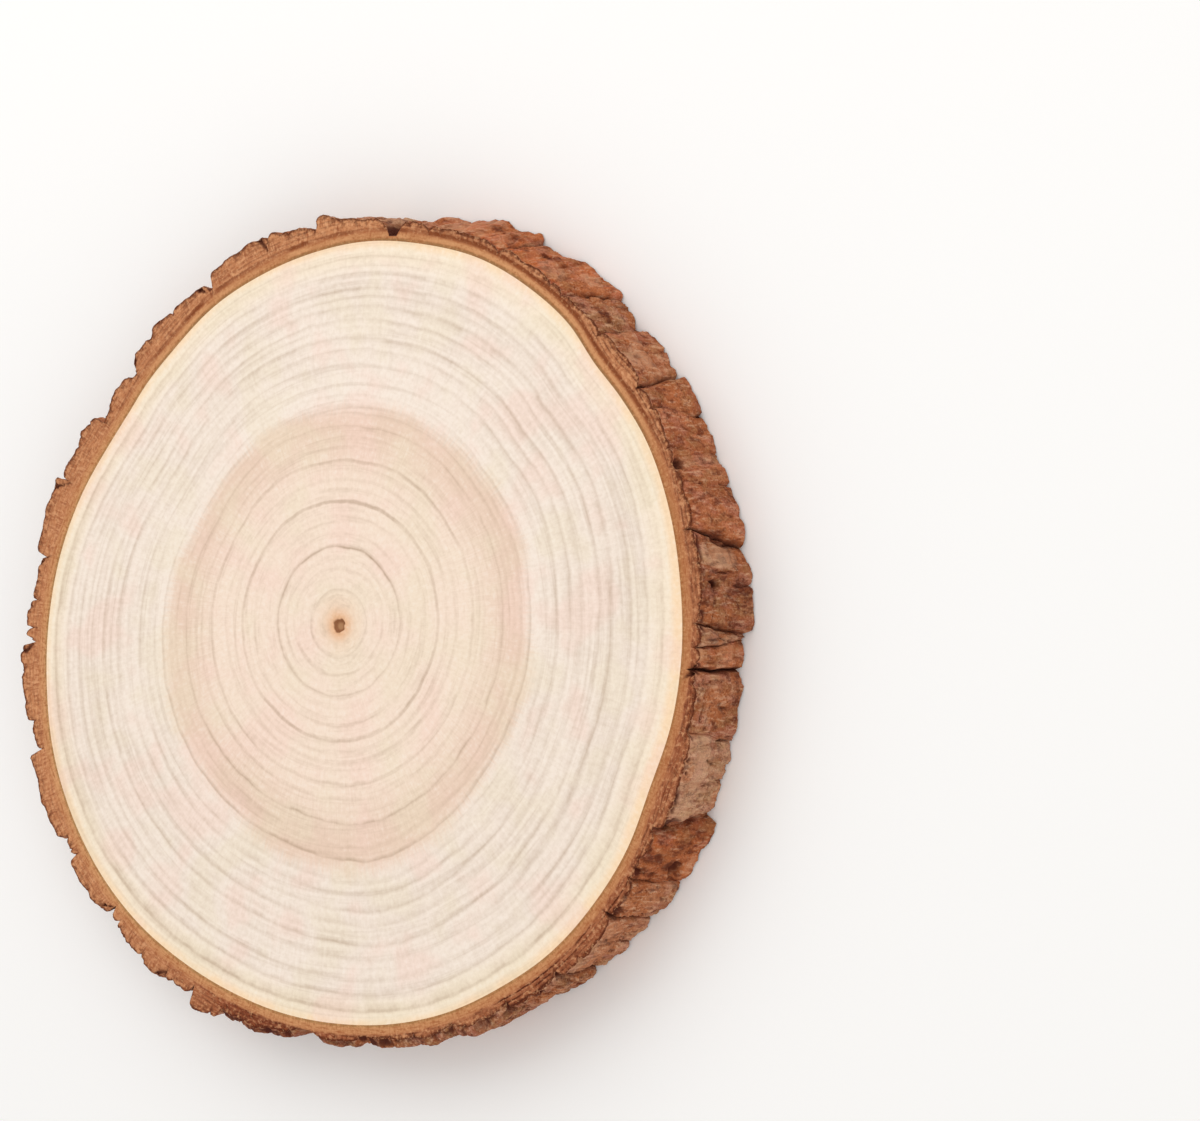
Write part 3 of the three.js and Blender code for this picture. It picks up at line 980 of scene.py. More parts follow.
@dataclass(frozen=True)
class DryBark:
    """Rough dry bark: greyish pink plates, orange scars, dark cracks and a tan inner layer.

    A pair holds the distances from the wood, or from the outer edge for the dark rim, between which a
    tone comes in.
    """

    weathered: Colour = tone(180, 129, 98)
    brown: Colour = tone(148, 86, 54)
    rust: Colour = tone(196, 100, 48)
    scar: Colour = tone(176, 102, 58)
    # stain: dark stain of blotches and specks, and also the painted shade of the bottom plates
    stain_and_shade: Colour = tone(84, 34, 20)
    # crack: dark brown laid on by depth, so it also paints the shade in cracks, gaps and sunk places
    crack: Colour = tone(72, 26, 15)
    pale: Colour = tone(216, 172, 138)
    rose: Colour = tone(178, 116, 100)
    olive: Colour = tone(158, 122, 78)
    seam: Colour = tone(174, 132, 84)
    sap_line: Colour = tone(146, 112, 74)
    inner: Colour = tone(208, 150, 102)
    inner_light: Colour = tone(226, 168, 118)
    inner_dark: Colour = tone(158, 86, 44)
    rind: Colour = tone(204, 138, 94)
    rind_light: Colour = tone(232, 172, 126)
    old_rind: Colour = tone(142, 74, 46)
    old_light: Colour = tone(186, 116, 80)
    # layer: dark brown of the layer lines; where age goes past 1, at the bottom of the ring, it also lays
    # painted shade
    layer: Colour = tone(80, 30, 13)
    first_line: Colour = tone(122, 58, 26)
    first_seam: float = 2.65
    light_layer: float = 1.3
    seam_edge: Pair = (0.35, 0.8)
    rind_from: Pair = (2.0, 2.7)
    dark_rim: Pair = (0.75, 0.1)
    side_roughness: float = 0.9
    side_depth: float = 0.4
    cut_roughness: float = 0.85
    cut_depth: float = 0.22
    shine: float = 0.15

    def side(self) -> bpy.types.Material:
        """Builds the finish of the weathered side.

        The mesh stores depth, in millimetres under the plate's surface, which lays the crack colour on as
        painted shade; scar; pale, whose low values lay the dark stain, and painted shade on the bottom
        plates; and rust.

        Returns:
            The material.
        """
        shader = Shader("bark_side")
        place = shader.place()
        fibre = shader.grain(place, (1300, 1300, 210), 3, 0.62)
        grit = shader.grain(place, 1900, 3, 0.6)
        mottle = shader.grain(place, (560, 560, 300), 3, 0.6)
        patch = shader.grain(place, (190, 190, 110), 3, 0.55)
        tinge = shader.grain(place, (330, 330, 170), 2)
        depth = shader.attribute("depth") + (grit - 0.5) * 0.5
        pale = shader.attribute("pale")
        rust = shader.attribute("rust")
        # Low pale lays the dark stain: blotches, and painted shade on the bottom plates
        stain_and_shade_share = (pale * -0.4).clamped() * (0.45 + mottle.rise(0.6, 0.38))
        colour = shader.over(
            self.weathered,
            ((patch - pale * 0.16).rise(0.36, 0.62), self.brown),
            (rust * patch.rise(0.66, 0.4), self.rust),
            (0.45 * tinge.rise(0.5, 0.64), self.rose),
            (0.45 * tinge.rise(0.5, 0.36), self.olive),
            (0.8 * shader.attribute("scar"), self.scar),
            (0.5 * fibre.rise(0.54, 0.36), self.brown),
            (0.65 * fibre.rise(0.5, 0.7), self.pale),
            (0.8 * mottle.rise(0.5, 0.32), self.stain_and_shade),
            (0.6 * grit.rise(0.48, 0.32), self.stain_and_shade),
            (0.4 * grit.rise(0.54, 0.7), self.pale),
            (0.25 * rust, self.rust),
            (stain_and_shade_share.clamped(), self.stain_and_shade),
            ((0.3 * pale).clamped(), self.pale),
            # Painted shade: cracks and hollows darken with their depth under the plate's surface
            (0.93 * depth.rise(0.4, 1.9), self.crack),
        )
        normal = shader.bump(fibre * 0.6 + grit * 0.4 + mottle * 0.7, self.side_depth)
        return shader.surface(colour, self.side_roughness, normal, self.shine)

    def cut(self) -> bpy.types.Material:
        """Builds the finish of the sawn edge.

        The mesh stores layer, the distance from the wood; ray, a direction with the layer as its height;
        edge, the distance from the outer edge; flow, which counts the layers; seams and first, how dark
        the seams between layers and the first one of them are; age, how dark the outer bark is, from
        weathering and, towards the bottom of the ring, painted shade, which goes on past 1 to the layers'
        own colour; tan, how dark the inner bark is; and depth, by which sunk places get painted shade.

        Returns:
            The material.
        """
        shader = Shader("bark_cut")
        place = shader.place()
        layer = shader.attribute("layer")
        ray = shader.direction("ray")
        streak = shader.grain(ray, (36, 36, 2.4), 3, 0.62)
        spoke = shader.grain(ray, (200, 200, 0.4), 2, 0.6)
        grit = shader.grain(place, 1400, 3, 0.6)
        patch = shader.grain(place, 330, 3, 0.55)
        specks = shader.grain(place, 820, 2, 0.6)
        age = shader.attribute("age")
        edge = shader.attribute("edge")
        banded = shader.attribute("first")

        bast = shader.over(
            self.seam,
            ((layer + (grit - 0.5) * 0.6).rise(*self.seam_edge), self.inner),
            (0.6 * streak.rise(0.5, 0.66), self.inner_light),
            (streak.rise(0.5, 0.36) * layer.rise(0.3, 1.6) * 0.6, self.inner_dark),
            (0.3 * spoke.rise(0.52, 0.36), self.inner_dark),
            (shader.attribute("tan"), self.inner_dark),
            (0.4 * layer.rise(0.9, 2.6), self.old_light),
            (layer.off(self.light_layer).rise(0.7, 0.2) * banded * 0.5, self.inner_light),
            ((layer + (grit - 0.5) * 0.5).rise(0.95, 0.3) * banded * 0.6, self.sap_line),
        )
        # The age value darkens the outer bark: weathering, and painted shade towards the bottom of the ring
        dark = (age + (patch - 0.5) * 0.9).clamped()
        young = (0.75 - age).clamped() * patch.rise(0.36, 0.6)
        light = shader.over(self.rind_light, (dark, self.old_light))
        seam = shader.attribute("flow").to_whole().rise(0.27, 0.06) * patch.rise(0.34, 0.5)
        rind = shader.over(
            self.rind,
            (dark, self.old_rind),
            (streak.rise(0.5, 0.68) * (0.3 + age * 0.5), light),
            (streak.rise(0.47, 0.32) * (0.12 + age * 0.6), self.layer),
            (spoke.rise(0.5, 0.66) * young, self.rind_light),
            (spoke.rise(0.48, 0.32) * young, self.old_rind),
            # Painted shade: past 1, at the bottom of the ring, the dark layer colour covers the rind
            ((age - 1.0).clamped(), self.layer),
            (seam * shader.attribute("seams") * 0.85, self.layer),
            (0.85 * (edge + (grit - 0.5) * 0.9).rise(*self.dark_rim), self.layer),
            (specks.rise(0.5, 0.62) * edge.rise(2.6, 0.6) * 0.6, self.layer),
            (0.4 * specks.rise(0.45, 0.33), self.rind_light),
        )
        first = (layer + (streak - 0.5) * 0.8).off(self.first_seam).rise(0.78, 0.2)
        colour = shader.over(
            bast,
            ((layer + (patch - 0.5) * 1.2).rise(*self.rind_from), rind),
            (first * banded * 0.85, self.first_line),
            (0.5 * grit.rise(0.47, 0.3), self.inner_dark),
            (0.4 * grit.rise(0.54, 0.7), self.inner_light),
            # Painted shade: sunk grooves, chips and seams take the crack colour by their depth
            (0.85 * shader.attribute("depth").rise(0.25, 0.8), self.crack),
        )
        normal = shader.bump(grit * 0.5 + streak, self.cut_depth)
        return shader.surface(colour, self.cut_roughness, normal, self.shine)


@dataclass
class Columns:
    """Columns of points round the bark, each a slice of one plate or crack.

    A crest is the radius of the plates beside a crack, and relief is how rough the column is, 1 on a plate.
    """

    angle: np.ndarray
    drift: np.ndarray
    upper: np.ndarray
    lower: np.ndarray
    crest_upper: np.ndarray
    crest_lower: np.ndarray
    crown: np.ndarray
    relief: np.ndarray
    shoulder: np.ndarray
    edge: np.ndarray
    pale: np.ndarray
    rust: np.ndarray
    plate: np.ndarray


@dataclass(frozen=True)
class Groove:
    """A short straight groove that narrows towards its end.

    A place is an angle with a height on the side, or with a radius on the sawn face. The end share says
    how much of the first width and depth is left at the end.
    """

    angle: float
    place: float
    end_angle: float
    end_place: float
    half_width: float
    depth: float
    end_share: float = 0.45

    def cut(self, angle: np.ndarray, other: np.ndarray, arc: float, ragged: np.ndarray) -> np.ndarray:
        """Works out how deep the groove is.

        Args:
            angle: Angle of each point.
            other: Its height or radius.
            arc: Millimetres to a degree.
            ragged: Wobble of the groove, in millimetres.

        Returns:
            Depth at each point.
        """
        run_x, run_y = (self.end_angle - self.angle) * arc, self.end_place - self.place
        x, y = ((angle - self.angle + 180) % 360 - 180) * arc, other - self.place
        share = np.clip((x * run_x + y * run_y) / math.hypot(run_x, run_y) ** 2, 0, 1)
        away = np.hypot(x - share * run_x, y - share * run_y) + ragged
        left = 1 - (1 - self.end_share) * share
        return self.depth * left * np.exp(-((away / (self.half_width * left)) ** 2))


def crack(away: np.ndarray, run: np.ndarray, depth: float, fullness: float) -> np.ndarray:
    """Works out how deep a small crack is.

    Args:
        away: Distance from its line, in half widths.
        run: Distance from its middle along it, in half lengths.
        depth: Its depth.
        fullness: How blunt its ends are.

    Returns:
        Depth at each point.
    """
    return depth * np.exp(-(away**2)) * np.clip(fullness - run**2, 0, 1)


@dataclass
class BarkRing:
    """The ring of bark round the wood."""

    trunk: Trunk
    relief: Relief = field(default_factory=Relief)
    finish: DryBark = field(default_factory=DryBark)
    hollows: tuple[Spot, ...] = make_all(
        Spot,
        (9.1, 13.2, 1.3, 2.2, 2.2), (63.2, 9.0, 1.6, 2.0, 1.1), (68.2, 11.5, 2.4, 2.4, 1.2),
        (25.9, 15.9, 1.9, 1.9, 1.5), (37.7, 16.4, 1.1, 1.6, 1.0), (13.0, 14.6, 0.7, 0.9, 0.8),
        (328.8, 5.2, 2.4, 1.5, 0.9), (350.6, 3.6, 1.2, 1.6, 0.6), (336.1, 15.0, 2.0, 3.2, 1.5),
        (329.6, 7.5, 2.0, 3.5, 0.9), (322.0, 16.8, 1.6, 1.6, 1.2), (309.6, 16.0, 1.6, 2.4, 1.2),
        (232.2, 18.0, 4.6, 6.0, 0.9),
    )
    patches: tuple[Spot, ...] = make_all(
        Spot,
        (13.2, 9.0, 3.4, 8.0, 1.8), (330.2, 1.6, 3.4, 2.4, 1.4), (346.0, 12.0, 6.0, 4.0, 0.5),
        (42.0, 12.5, 4.0, 4.5, 0.6), (60.0, 14.0, 4.0, 3.5, 0.6), (8.0, 4.5, 3.0, 4.0, -0.7),
        (73.0, 6.0, 2.8, 2.0, -1.7), (70.2, 8.6, 3.0, 1.4, -1.4), (66.6, 13.6, 2.6, 1.5, -1.0),
        (62.8, 9.4, 2.2, 2.3, -1.5), (50.8, 11.6, 2.6, 1.5, -1.3), (48.6, 8.6, 1.3, 1.5, -1.2),
        (46.2, 4.6, 2.4, 2.0, -0.9), (56.8, 5.4, 2.6, 2.8, 0.9), (75.0, 2.4, 3.6, 1.6, 0.8),
    )
    side_grooves: tuple[Groove, ...] = make_all(
        Groove,
        (31.3, 10.4, 29.8, 3.6, 0.4, 1.0), (27.4, 9.0, 25.8, 3.4, 0.4, 1.0),
        (20.0, 9.4, 16.4, 9.0, 0.35, 0.9), (53.6, 6.5, 55.2, 12.0, 0.4, 0.9),
        (49.2, 13.0, 48.6, 5.0, 0.35, 0.8), (339.4, 17.0, 344.5, 15.8, 0.35, 0.9),
        (351.0, 15.5, 356.0, 14.8, 0.35, 0.8),
    )
    cut_grooves: tuple[Groove, ...] = make_all(
        Groove,
        (357.8, 93.2, 356.2, 90.0, 0.9, 1.5, 0.3), (357.2, 91.8, 358.6, 91.2, 0.5, 0.8, 0.3),
        (9.2, 93.6, 7.9, 92.2, 0.2, 0.6), (160.4, 94.5, 159.0, 91.0, 0.55, 1.0, 0.6),
        (184.6, 96.8, 183.6, 94.2, 0.6, 1.1, 0.6), (180.0, 96.4, 180.3, 95.2, 0.5, 0.5),
        (178.2, 95.2, 178.0, 94.2, 0.5, 0.5), (109.2, 95.8, 108.2, 92.6, 0.6, 1.1, 0.7),
        (223.8, 96.2, 225.4, 93.9, 0.35, 1.0), (237.0, 97.0, 238.4, 94.6, 0.6, 0.9, 0.6),
        (171.8, 93.8, 170.4, 91.2, 0.5, 0.9, 0.6), (136.8, 91.6, 138.0, 89.4, 0.55, 1.0, 0.6),
        (121.6, 92.4, 120.6, 90.8, 0.6, 1.1, 0.6), (148.8, 92.2, 147.6, 90.6, 0.4, 0.8, 0.6),
        (99.2, 95.0, 99.6, 93.6, 0.3, 0.7), (85.7, 94.2, 85.6, 92.0, 1.1, 1.0),
    )
    # Darkness of the bark's sawn edge by angle: weathering, and painted shade at the bottom, from 247 to
    # 268 degrees
    cut_ages_and_shade: tuple[Pair, ...] = (
        (0, 0.8), (12, 0.6), (28, 0.6), (37, 0.35), (48, 0.4), (55, 0.5), (70, 0.5), (82, 0.45),
        (95, 0.1), (106, 0.25), (120, 0.35), (142, 0.3), (160, 0.3), (180, 0.25), (200, 0.2),
        (220, 0.25), (238, 0.4), (247, 0.75), (251, 1.2), (262, 1.5), (268, 1.0), (280, 0.5), (300, 0.75),
        (315, 0.8), (335, 0.75), (345, 0.75), (353, 0.85),
    )
    cut_tans: tuple[Pair, ...] = (
        (20, 0.5), (60, 0.42), (108, 0.42), (150, 0.15), (205, 0.0), (240, 0.1), (280, 0.2), (330, 0.36),
    )
    cut_seams: tuple[Pair, ...] = (
        (0, 0.6), (20, 0.5), (40, 0.7), (60, 0.6), (90, 0.35), (130, 0.4), (170, 0.2), (230, 0.25),
        (255, 0.5), (290, 0.7), (300, 1.15), (322, 1.15), (332, 0.8), (350, 0.5),
    )
    mean_radius: float = 95.0
    spacing: float = 0.48
    slope_weight: float = 0.6
    side_rows: int = 42
    cut_rows: int = 11
    lower_cut_rows: int = 6
    map_strips: int = 4
    seam_layer: float = 2.8
    layer_step: float = 1.1
    rind_from: Pair = (2.0, 2.8)
    first_start: Pair = (24.0, 36.0)
    first_end: Pair = (152.0, 125.0)
    first_whole: Pair = (90.0, 70.0)
    sharp_angle: float = 38.0
    map_side: float = 0.56
    map_cut: float = 0.2
    map_gap: float = 0.01
    map_margin: float = 0.002
    piece: bpy.types.Object | None = None

    @property
    def arc(self) -> float:
        """Millimetres round the bark to one degree."""
        return math.radians(1) * self.mean_radius

    def _coarse(self) -> list[tuple[float, ...]]:
        """Lays out the few columns that give each plate and crack its form.

        Returns:
            Rows of numbers, in the order of the fields of Columns.
        """
        sizes = self.relief
        rows = []
        for index, plate in enumerate(PLATES):
            previous = PLATES[index - 1]
            following = PLATES[(index + 1) % len(PLATES)]
            next_start = following.start + (360 if index + 1 == len(PLATES) else 0)
            steps = max(2, round((plate.end - plate.start) / sizes.column_step))
            for share in np.linspace(0, 1, steps + 1):
                angle = plate.start + (plate.end - plate.start) * share
                upper = plate.upper_start + (plate.upper_end - plate.upper_start) * share
                lower = plate.lower_start + (plate.lower_end - plate.lower_start) * share
                drift = previous.drift + (plate.drift - previous.drift) * share
                edge = min(angle - plate.start, plate.end - angle) * self.arc
                crown = 1 - (2 * share - 1) ** 2
                form = (angle, drift, upper, lower, upper, lower, crown, 1.0, plate.shoulder, edge)
                rows.append((*form, plate.pale, plate.rust, index))
            width = next_start - plate.end
            crest_upper = min(plate.upper_end, following.upper_start)
            crest_lower = min(plate.lower_end, following.lower_start)
            lower_floor = crest_lower - (crest_upper - plate.floor) * plate.low
            for share in (0.5,) if width < sizes.narrow_crack else (0.3, 0.7):
                angle = plate.end + width * share
                form = (angle, plate.drift, plate.floor, lower_floor, crest_upper, crest_lower)
                rows.append((*form, 0.0, sizes.floor_roughness, 0.0, 0.0, 0.0, 0.4, index))
        return rows

    def _columns(self) -> Columns:
        """Splits the coarse columns evenly.

        Returns:
            Columns that are all about as far apart.
        """
        rows = np.array(self._coarse(), float)
        closing = rows[0].copy()
        closing[0] += 360
        ends = np.vstack([rows[1:], closing])
        fine = []
        for first, second in zip(rows, ends):
            across = (second[0] - first[0]) * self.arc
            length = math.hypot(across, self.slope_weight * (second[2] - first[2]))
            pieces = max(1, math.ceil(length / self.spacing))
            for share in np.arange(pieces) / pieces:
                row = first + (second - first) * share
                row[-1] = first[-1]
                fine.append(row)
        return Columns(*np.array(fine).T)

    def _small_cracks(self, along: np.ndarray, height: np.ndarray, columns: Columns) -> np.ndarray:
        """Cuts short cracks along and across each plate.

        Args:
            along: Place round the bark, in millimetres, by row and column.
            height: Height of each point.
            columns: The columns.

        Returns:
            How deep the cracks are at each point.
        """
        depth = np.zeros_like(along)
        thickness = self.trunk.thickness
        for index, plate in enumerate(PLATES):
            inside = np.flatnonzero(columns.plate == index)
            s, z = along[:, inside], height[:, inside]
            start, width = plate.start * self.arc, (plate.end - plate.start) * self.arc
            cracks = [np.zeros_like(s)]
            for k in range(round(width / self.relief.crack_spacing)):
                seed = 31.0 + index * 7 + k * 3.7
                at = start + width * (0.08 + 0.84 * draw(seed, 1))
                middle = thickness * draw(seed, 2)
                wander = 0.7 * noise(seed, z / 3.5) + 0.05 * (z - middle) * (2 * draw(seed, 4) - 1)
                away = (s - at - wander) / (0.2 + 0.22 * draw(seed, 5))
                run = (z - middle) / (2.5 + 7.0 * draw(seed, 3))
                cracks.append(crack(away, run, 0.35 + 0.8 * draw(seed, 6), 1.2))
            for k in range(1 + round(width / self.relief.cross_crack_spacing)):
                seed = 211.0 + index * 5 + k * 2.3
                at = thickness * (0.12 + 0.76 * draw(seed, 1))
                middle = start + width * draw(seed, 2)
                wander = 1.1 * noise(s / 3.2, seed) + 0.3 * noise(s / 0.9, seed + 1)
                away = (z - at - wander) / (0.22 + 0.2 * draw(seed, 5))
                run = (s - middle) / (width * (0.18 + 0.4 * draw(seed, 3)))
                cracks.append(crack(away, run, 0.3 + 0.5 * draw(seed, 6), 1.1))
            depth[:, inside] = np.max(cracks, axis=0)
        return depth

    def _side(self, columns: Columns, level: np.ndarray) -> dict[str, np.ndarray]:
        """Works out the outer side.

        Args:
            columns: The columns.
            level: Levels of the rows, from the top down.

        Returns:
            Angle, radius, depth under the plate's surface, scar, pale and rust, by row and column.
        """
        sizes = self.relief
        lev = level[:, None]
        height = self.trunk.thickness * lev + 0 * columns.angle
        wander = 0.26 * noise(columns.angle * 0.21, height / 5.0)
        wander = wander + 0.12 * noise(columns.angle, height / 1.9)
        wander = wander * (1 - np.abs(2 * lev - 1) ** 6)
        angle = columns.angle + columns.drift * (1 - lev) + wander
        along = angle * self.arc
        plate = columns.plate[None, :]

        ridges = sizes.ridge_height * noise(
            (angle - wander) * sizes.ridges_per_degree, height / sizes.ridge_length
        )
        ragged = height + sizes.flake_edge.at(along, plate)
        flake = np.floor(ragged / sizes.flake_length + draw(plate, sizes.flake_seed))
        step = 2 * draw(plate, sizes.flake_seed + 1 + flake) - 1
        flakes = sizes.flake_step * step * 4 * lev * (1 - lev)

        swirl = sizes.scale_steps * sizes.swirl.at(along, height)
        scales = np.floor(swirl) + ease(swirl - np.floor(swirl), 0.8, 1.0)
        scar_field = sizes.scars.at(along, height)
        scar = ease(scar_field, *sizes.scar_edge)
        fibre = sizes.fibres.at(along, height)
        on_plate = columns.relief > 0.99
        worn = np.clip(1 - columns.edge / sizes.wear_reach, 0, 1) ** 2 * on_plate
        fine = sizes.scale_step * (scales + 0.5) - sizes.scar_depth * scar + sizes.fibre_height * fibre
        cracks = self._small_cracks(along, height, columns)

        below = self.trunk.thickness * (1 - lev)
        shoulder = columns.shoulder * ease(below, 0.0, sizes.shoulder_height)
        gap = ease(sizes.gaps.at(along, below), -0.25, 0.35) * ease(below, 0.1, 0.5)
        gap = gap * ease(below, 2.0, 0.9) * ease(columns.shoulder, 0.2, 0.5)
        crest = columns.crest_lower * (1 - lev) + (columns.crest_upper + shoulder) * lev
        radius = columns.lower * (1 - lev) + (columns.upper + shoulder) * lev - sizes.gap_depth * gap
        radius = radius + columns.crown * sizes.crown + columns.relief * (ridges + flakes + fine)
        radius = radius - columns.relief * (cracks + sizes.edge_wear * worn)
        for groove in self.side_grooves:
            edge = sizes.groove_edge.at(along, height)
            radius = radius - groove.cut(angle, height, self.arc, edge)
        for hollow in self.hollows:
            across = np.radians(angle - hollow.angle) * radius / hollow.half_width
            up = (height - hollow.height) / hollow.half_height
            bite = sizes.hollow_edge.at(along, height) * (across**2 + up**2 < 2)
            inside = np.clip(1 - across**2 - up**2 + bite, 0, 1)
            radius = radius - hollow.amount * np.sqrt(inside)
        wood = np.hypot(*np.moveaxis(self.trunk.rim(angle, lev)[..., :2], -1, 0))
        radius = np.maximum(radius, wood + sizes.min_bark)
        surface = crest + columns.crown * sizes.crown + ridges + flakes * sizes.flake_shade
        # depth lays the painted shade of cracks and hollows; the gaps count deeper for it
        depth = surface - radius + sizes.gap_shade * gap
        pale = columns.pale + sizes.scale_pale * (2 * draw(np.floor(swirl) + 3, plate) - 1)
        pale = pale + sizes.flake_pale * step
        for patch in self.patches:
            across = (angle - patch.angle) * self.arc / patch.half_width
            up = (height - patch.height) / patch.half_height
            pale = pale + patch.amount * ease(across**2 + up**2 + 0.5 * scar_field, 1.3, 0.5)
        values = {"depth": depth, "scar": scar, "pale": pale, "rust": columns.rust + 0 * angle}
        return {"angle": angle, "radius": radius, **values}

    def _cut_face(
        self, columns: Columns, edge: np.ndarray, face: Face, rows: int
    ) -> tuple[np.ndarray, dict[str, np.ndarray]]:
        """Works out one sawn face of the bark between its outer edge and the wood.

        Args:
            columns: The columns.
            edge: Points of the outer edge.
            face: Which sawn face.
            rows: Rows of points, the outer edge among them and the edge of the wood too.

        Returns:
            Points, and the values stored with them, by row and column.
        """
        inner = self.trunk.rim(columns.angle, face.value)
        share = np.linspace(0, 1, rows)[:, None, None]
        points = edge * (1 - share) + inner * share
        width = np.hypot(*(edge - inner)[:, :2].T)
        share = share[..., 0]
        layer, from_edge = width * (1 - share), width * share
        along = columns.angle * self.arc
        sizes = self.relief
        flow = (layer - self.seam_layer) / self.layer_step + sizes.flow.at(along)
        # The age value holds weathering and the painted shade at the bottom of the ring
        age, tan, seams = (
            np.interp(columns.angle, *np.transpose(stops), period=360) + 0 * share
            for stops in (self.cut_ages_and_shade, self.cut_tans, self.cut_seams)
        )
        seams = seams * ease(sizes.seam_gaps.at(along, layer), -0.6, 0.1)
        first = ease(columns.angle, *self.first_start) * ease(columns.angle, *self.first_end)
        first = first * ease(from_edge, 0.1, 0.6)
        broken = ease(sizes.first_gaps.at(along), -0.4, 0.3)
        first = first * np.maximum(0.3 + 0.7 * broken, ease(columns.angle, *self.first_whole))
        strip = np.exp(-(((flow - np.round(flow)) / sizes.seam_half_width) ** 2)) * seams
        crumbs = np.maximum(sizes.crumbs.at(along, layer), 0)
        chips = ease(sizes.chips.at(along), 0.1, 0.5)
        chips = chips * np.clip(1 - from_edge / sizes.chip_reach, 0, 1)
        sunk = ease(layer, *self.rind_from) * (sizes.seam_depth * strip + sizes.crumb_depth * crumbs)
        sunk = sunk + sizes.chip_depth * chips
        ragged = sizes.cut_groove_edge.at(along, layer)
        radius = np.hypot(points[..., 0], points[..., 1])
        for groove in self.cut_grooves if face is Face.UPPER else ():
            sunk = sunk + groove.cut(columns.angle, radius, self.arc, ragged)
        sunk[-1] = 0.0
        inwards = -1.0 if face is Face.UPPER else 1.0
        points[..., 2] = self.trunk.thickness * face.value + inwards * sunk
        ray = polar(1.0, np.radians(columns.angle), layer)
        values = {"layer": layer, "edge": from_edge, "flow": flow, "seams": seams, "first": first}
        return points, {**values, "age": age, "tan": tan, "depth": sunk, "ray": ray}

    def build(self, shift: np.ndarray) -> None:
        """Makes the ring's mesh, its stored values and its map.

        Args:
            shift: Place of the drawing's origin in the frame.
        """
        columns = self._columns()
        level = np.linspace(1, 0, self.side_rows)
        side = self._side(columns, level)
        height = self.trunk.thickness * level[:, None]
        outer = polar(side["radius"], np.radians(side["angle"]), height)
        upper, above = self._cut_face(columns, outer[0], Face.UPPER, self.cut_rows)
        lower, below = self._cut_face(columns, outer[-1], Face.LOWER, self.lower_cut_rows)
        section = np.concatenate([upper[::-1], outer[1:-1], lower])
        rows, count = section.shape[:2]
        grid = np.arange(rows * count).reshape(rows, count)
        faces = bands(np.vstack([grid, grid[:1]]))
        self.piece = mesh_piece(
            "bark_ring_rough", section.reshape(-1, 3), faces, shift, self.sharp_angle
        )
        for name in sorted({**above, **side}.keys() - {"angle", "radius"}):
            size = (3,) if name == "ray" else ()
            parts = (
                above.get(name, np.zeros((self.cut_rows, count, *size)))[::-1],
                side.get(name, np.zeros((self.side_rows, count, *size)))[1:-1],
                below.get(name, np.zeros((self.lower_cut_rows, count, *size))),
            )
            store(self.piece, name, np.concatenate(parts).reshape(rows * count, *size))
        self._map(rows, count)
        band = np.repeat(np.arange(rows), count)
        cut = (band < self.cut_rows - 1) | (band >= rows - self.lower_cut_rows)
        self.piece.data.polygons.foreach_set("material_index", cut.astype(np.int32))

    def _map(self, rows: int, count: int) -> None:
        """Unrolls the ring into a few strips, one above the other.

        Args:
            rows: Rows of points.
            count: Points in a row.
        """
        low_cut = self.map_cut + self.map_side
        path = np.concatenate(
            [
                np.linspace(0, self.map_cut, self.cut_rows),
                self.map_cut + np.linspace(0, self.map_side, self.side_rows)[1:-1],
                low_cut + np.linspace(0, self.map_cut, self.lower_cut_rows),
                [1.0],
            ]
        )
        path = self.map_gap + (1 - 2 * self.map_gap) * path
        per_strip = math.ceil(count / self.map_strips)
        j = np.tile(np.arange(count), rows)
        band = np.repeat(np.arange(rows), count)
        left = (j % per_strip) / per_strip
        right = left + 1 / per_strip
        low = (j // per_strip + path[band + 1]) / self.map_strips
        high = (j // per_strip + path[band]) / self.map_strips
        u = self.map_margin + (1 - 2 * self.map_margin) * np.stack([left, right, right, left], axis=1)
        v = np.stack([low, low, high, high], axis=1)
        wall = band == rows - 1
        v[wall] = v[wall][:, ::-1]
        store_map(self.piece, np.stack([u, v], axis=-1).reshape(-1, 2))

    def dress(self) -> None:
        """Gives the ring its finishes and its place in the frame."""
        self.piece.data.materials.append(self.finish.side())
        self.piece.data.materials.append(self.finish.cut())
        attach(self.piece, "root")
        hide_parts("bark_ring")


# Camera, floor and light


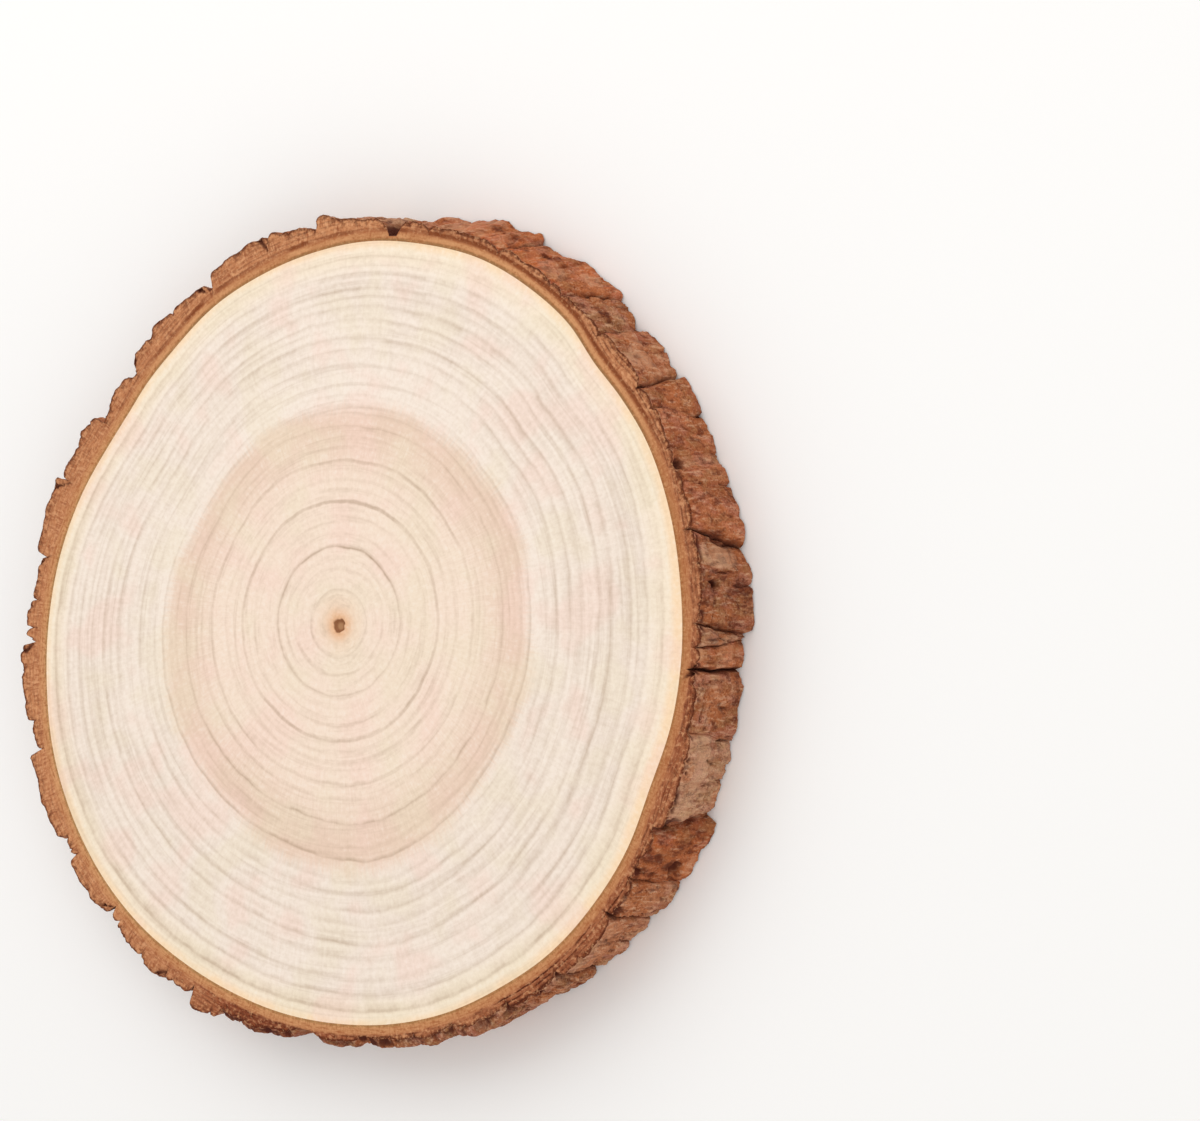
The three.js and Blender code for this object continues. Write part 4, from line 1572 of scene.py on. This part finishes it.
@dataclass(frozen=True)
class Camera:
    """The camera, placed by how the sawn face looks in the picture."""

    picture: Pair = (1200.0, 1121.0)
    face_centre: Pair = (352.2, 635.3)
    face_tilt: float = 33.37
    face_turn: float = 2.29
    distance: float = 1205.44
    lens: float = 158.08
    sensor: float = 36.0
    clip: Pair = (0.01, 50.0)

    def place(self, trunk: Trunk, shift: np.ndarray) -> None:
        """Makes the scene's camera.

        Args:
            trunk: The slice, for the height of its upper face.
            shift: Place of the drawing's origin in the frame.
        """
        tilt, turn = math.radians(self.face_tilt), math.radians(self.face_turn)
        across = Vector((math.cos(turn), -math.sin(turn), 0.0))
        towards = Vector((0.0, 0.0, 1.0))
        right = math.cos(tilt) * across + math.sin(tilt) * towards
        up = Vector((math.sin(turn), math.cos(turn), 0.0))
        out = math.cos(tilt) * towards - math.sin(tilt) * across
        camera_to_slice = Matrix((right, up, out))
        focal = self.lens / self.sensor * self.picture[0]
        offset_x = (self.face_centre[0] - self.picture[0] / 2) / focal * self.distance
        offset_y = (self.picture[1] / 2 - self.face_centre[1]) / focal * self.distance
        centre = Vector((offset_x, offset_y, -self.distance))
        face = Vector((shift[0], shift[1], trunk.thickness))
        place = (camera_to_slice @ -centre + face) * MM
        data = bpy.data.cameras.new("camera")
        data.lens, data.sensor_width = self.lens, self.sensor
        data.clip_start, data.clip_end = self.clip
        camera = bpy.data.objects.new("camera", data)
        camera.matrix_world = Matrix.Translation(place) @ camera_to_slice.to_4x4()
        bpy.context.scene.collection.objects.link(camera)
        bpy.context.scene.camera = camera


@dataclass(frozen=True)
class Lamp:
    """A square soft light that looks at the slice; its place is in metres."""

    name: str
    place: Triple
    size: float
    watts: float

    def light(self) -> None:
        """Makes the light."""
        data = bpy.data.lights.new(self.name, "AREA")
        data.shape = "SQUARE"
        data.size = self.size
        data.energy = self.watts
        lamp = bpy.data.objects.new(self.name, data)
        lamp.location = self.place
        lamp.rotation_euler = (-Vector(self.place)).to_track_quat("-Z", "Y").to_euler()
        bpy.context.scene.collection.objects.link(lamp)


@dataclass(frozen=True)
class Studio:
    """A plain pale floor in soft light."""

    floor_half: float = 4.0
    floor_drop: float = 0.3
    floor_tone: Colour = tone(252, 251, 250)
    floor_roughness: float = 0.9
    sky_tone: Colour = tone(255, 254, 252)
    sky_strength: float = 0.71
    lamps: tuple[Lamp, ...] = (
        Lamp("key", (-0.12, 0.54, 0.62), 1.0, 2.7),
        Lamp("fill", (1.6, -0.9, 1.3), 2.4, 11.0),
    )

    def build(self) -> None:
        """Makes the floor, the sky and the lamps."""
        half, drop = self.floor_half, -self.floor_drop * MM
        mesh = bpy.data.meshes.new("floor")
        square = [(-half, -half, drop), (half, -half, drop), (half, half, drop), (-half, half, drop)]
        mesh.from_pydata(square, [], [(0, 1, 2, 3)])
        floor = bpy.data.objects.new("floor", mesh)
        bpy.context.scene.collection.objects.link(floor)
        shader = Shader("pale_floor")
        mesh.materials.append(shader.surface(self.floor_tone, self.floor_roughness, None, 0.0))

        world = bpy.data.worlds.new("sky")
        world.use_nodes = True
        background = world.node_tree.nodes["Background"]
        background.inputs["Color"].default_value = self.sky_tone
        background.inputs["Strength"].default_value = self.sky_strength
        bpy.context.scene.world = world
        for lamp in self.lamps:
            lamp.light()
        bpy.context.scene.view_settings.view_transform = "Standard"


def main() -> None:
    """Builds the slice, its stage and its camera, and writes how large it came out."""
    logging.basicConfig(level=logging.INFO, format="%(message)s")
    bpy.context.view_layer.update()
    trunk = Trunk()
    shift = trunk.frame_shift()
    Camera().place(trunk, shift)
    Studio().build()
    for part in (WoodDisc(trunk), BarkRing(trunk)):
        part.build(shift)
        part.dress()
        faces = sum(len(face.vertices) - 2 for face in part.piece.data.polygons)
        log.info("%s: %d triangles", part.piece.name, faces)


if __name__ == "__main__":
    main()
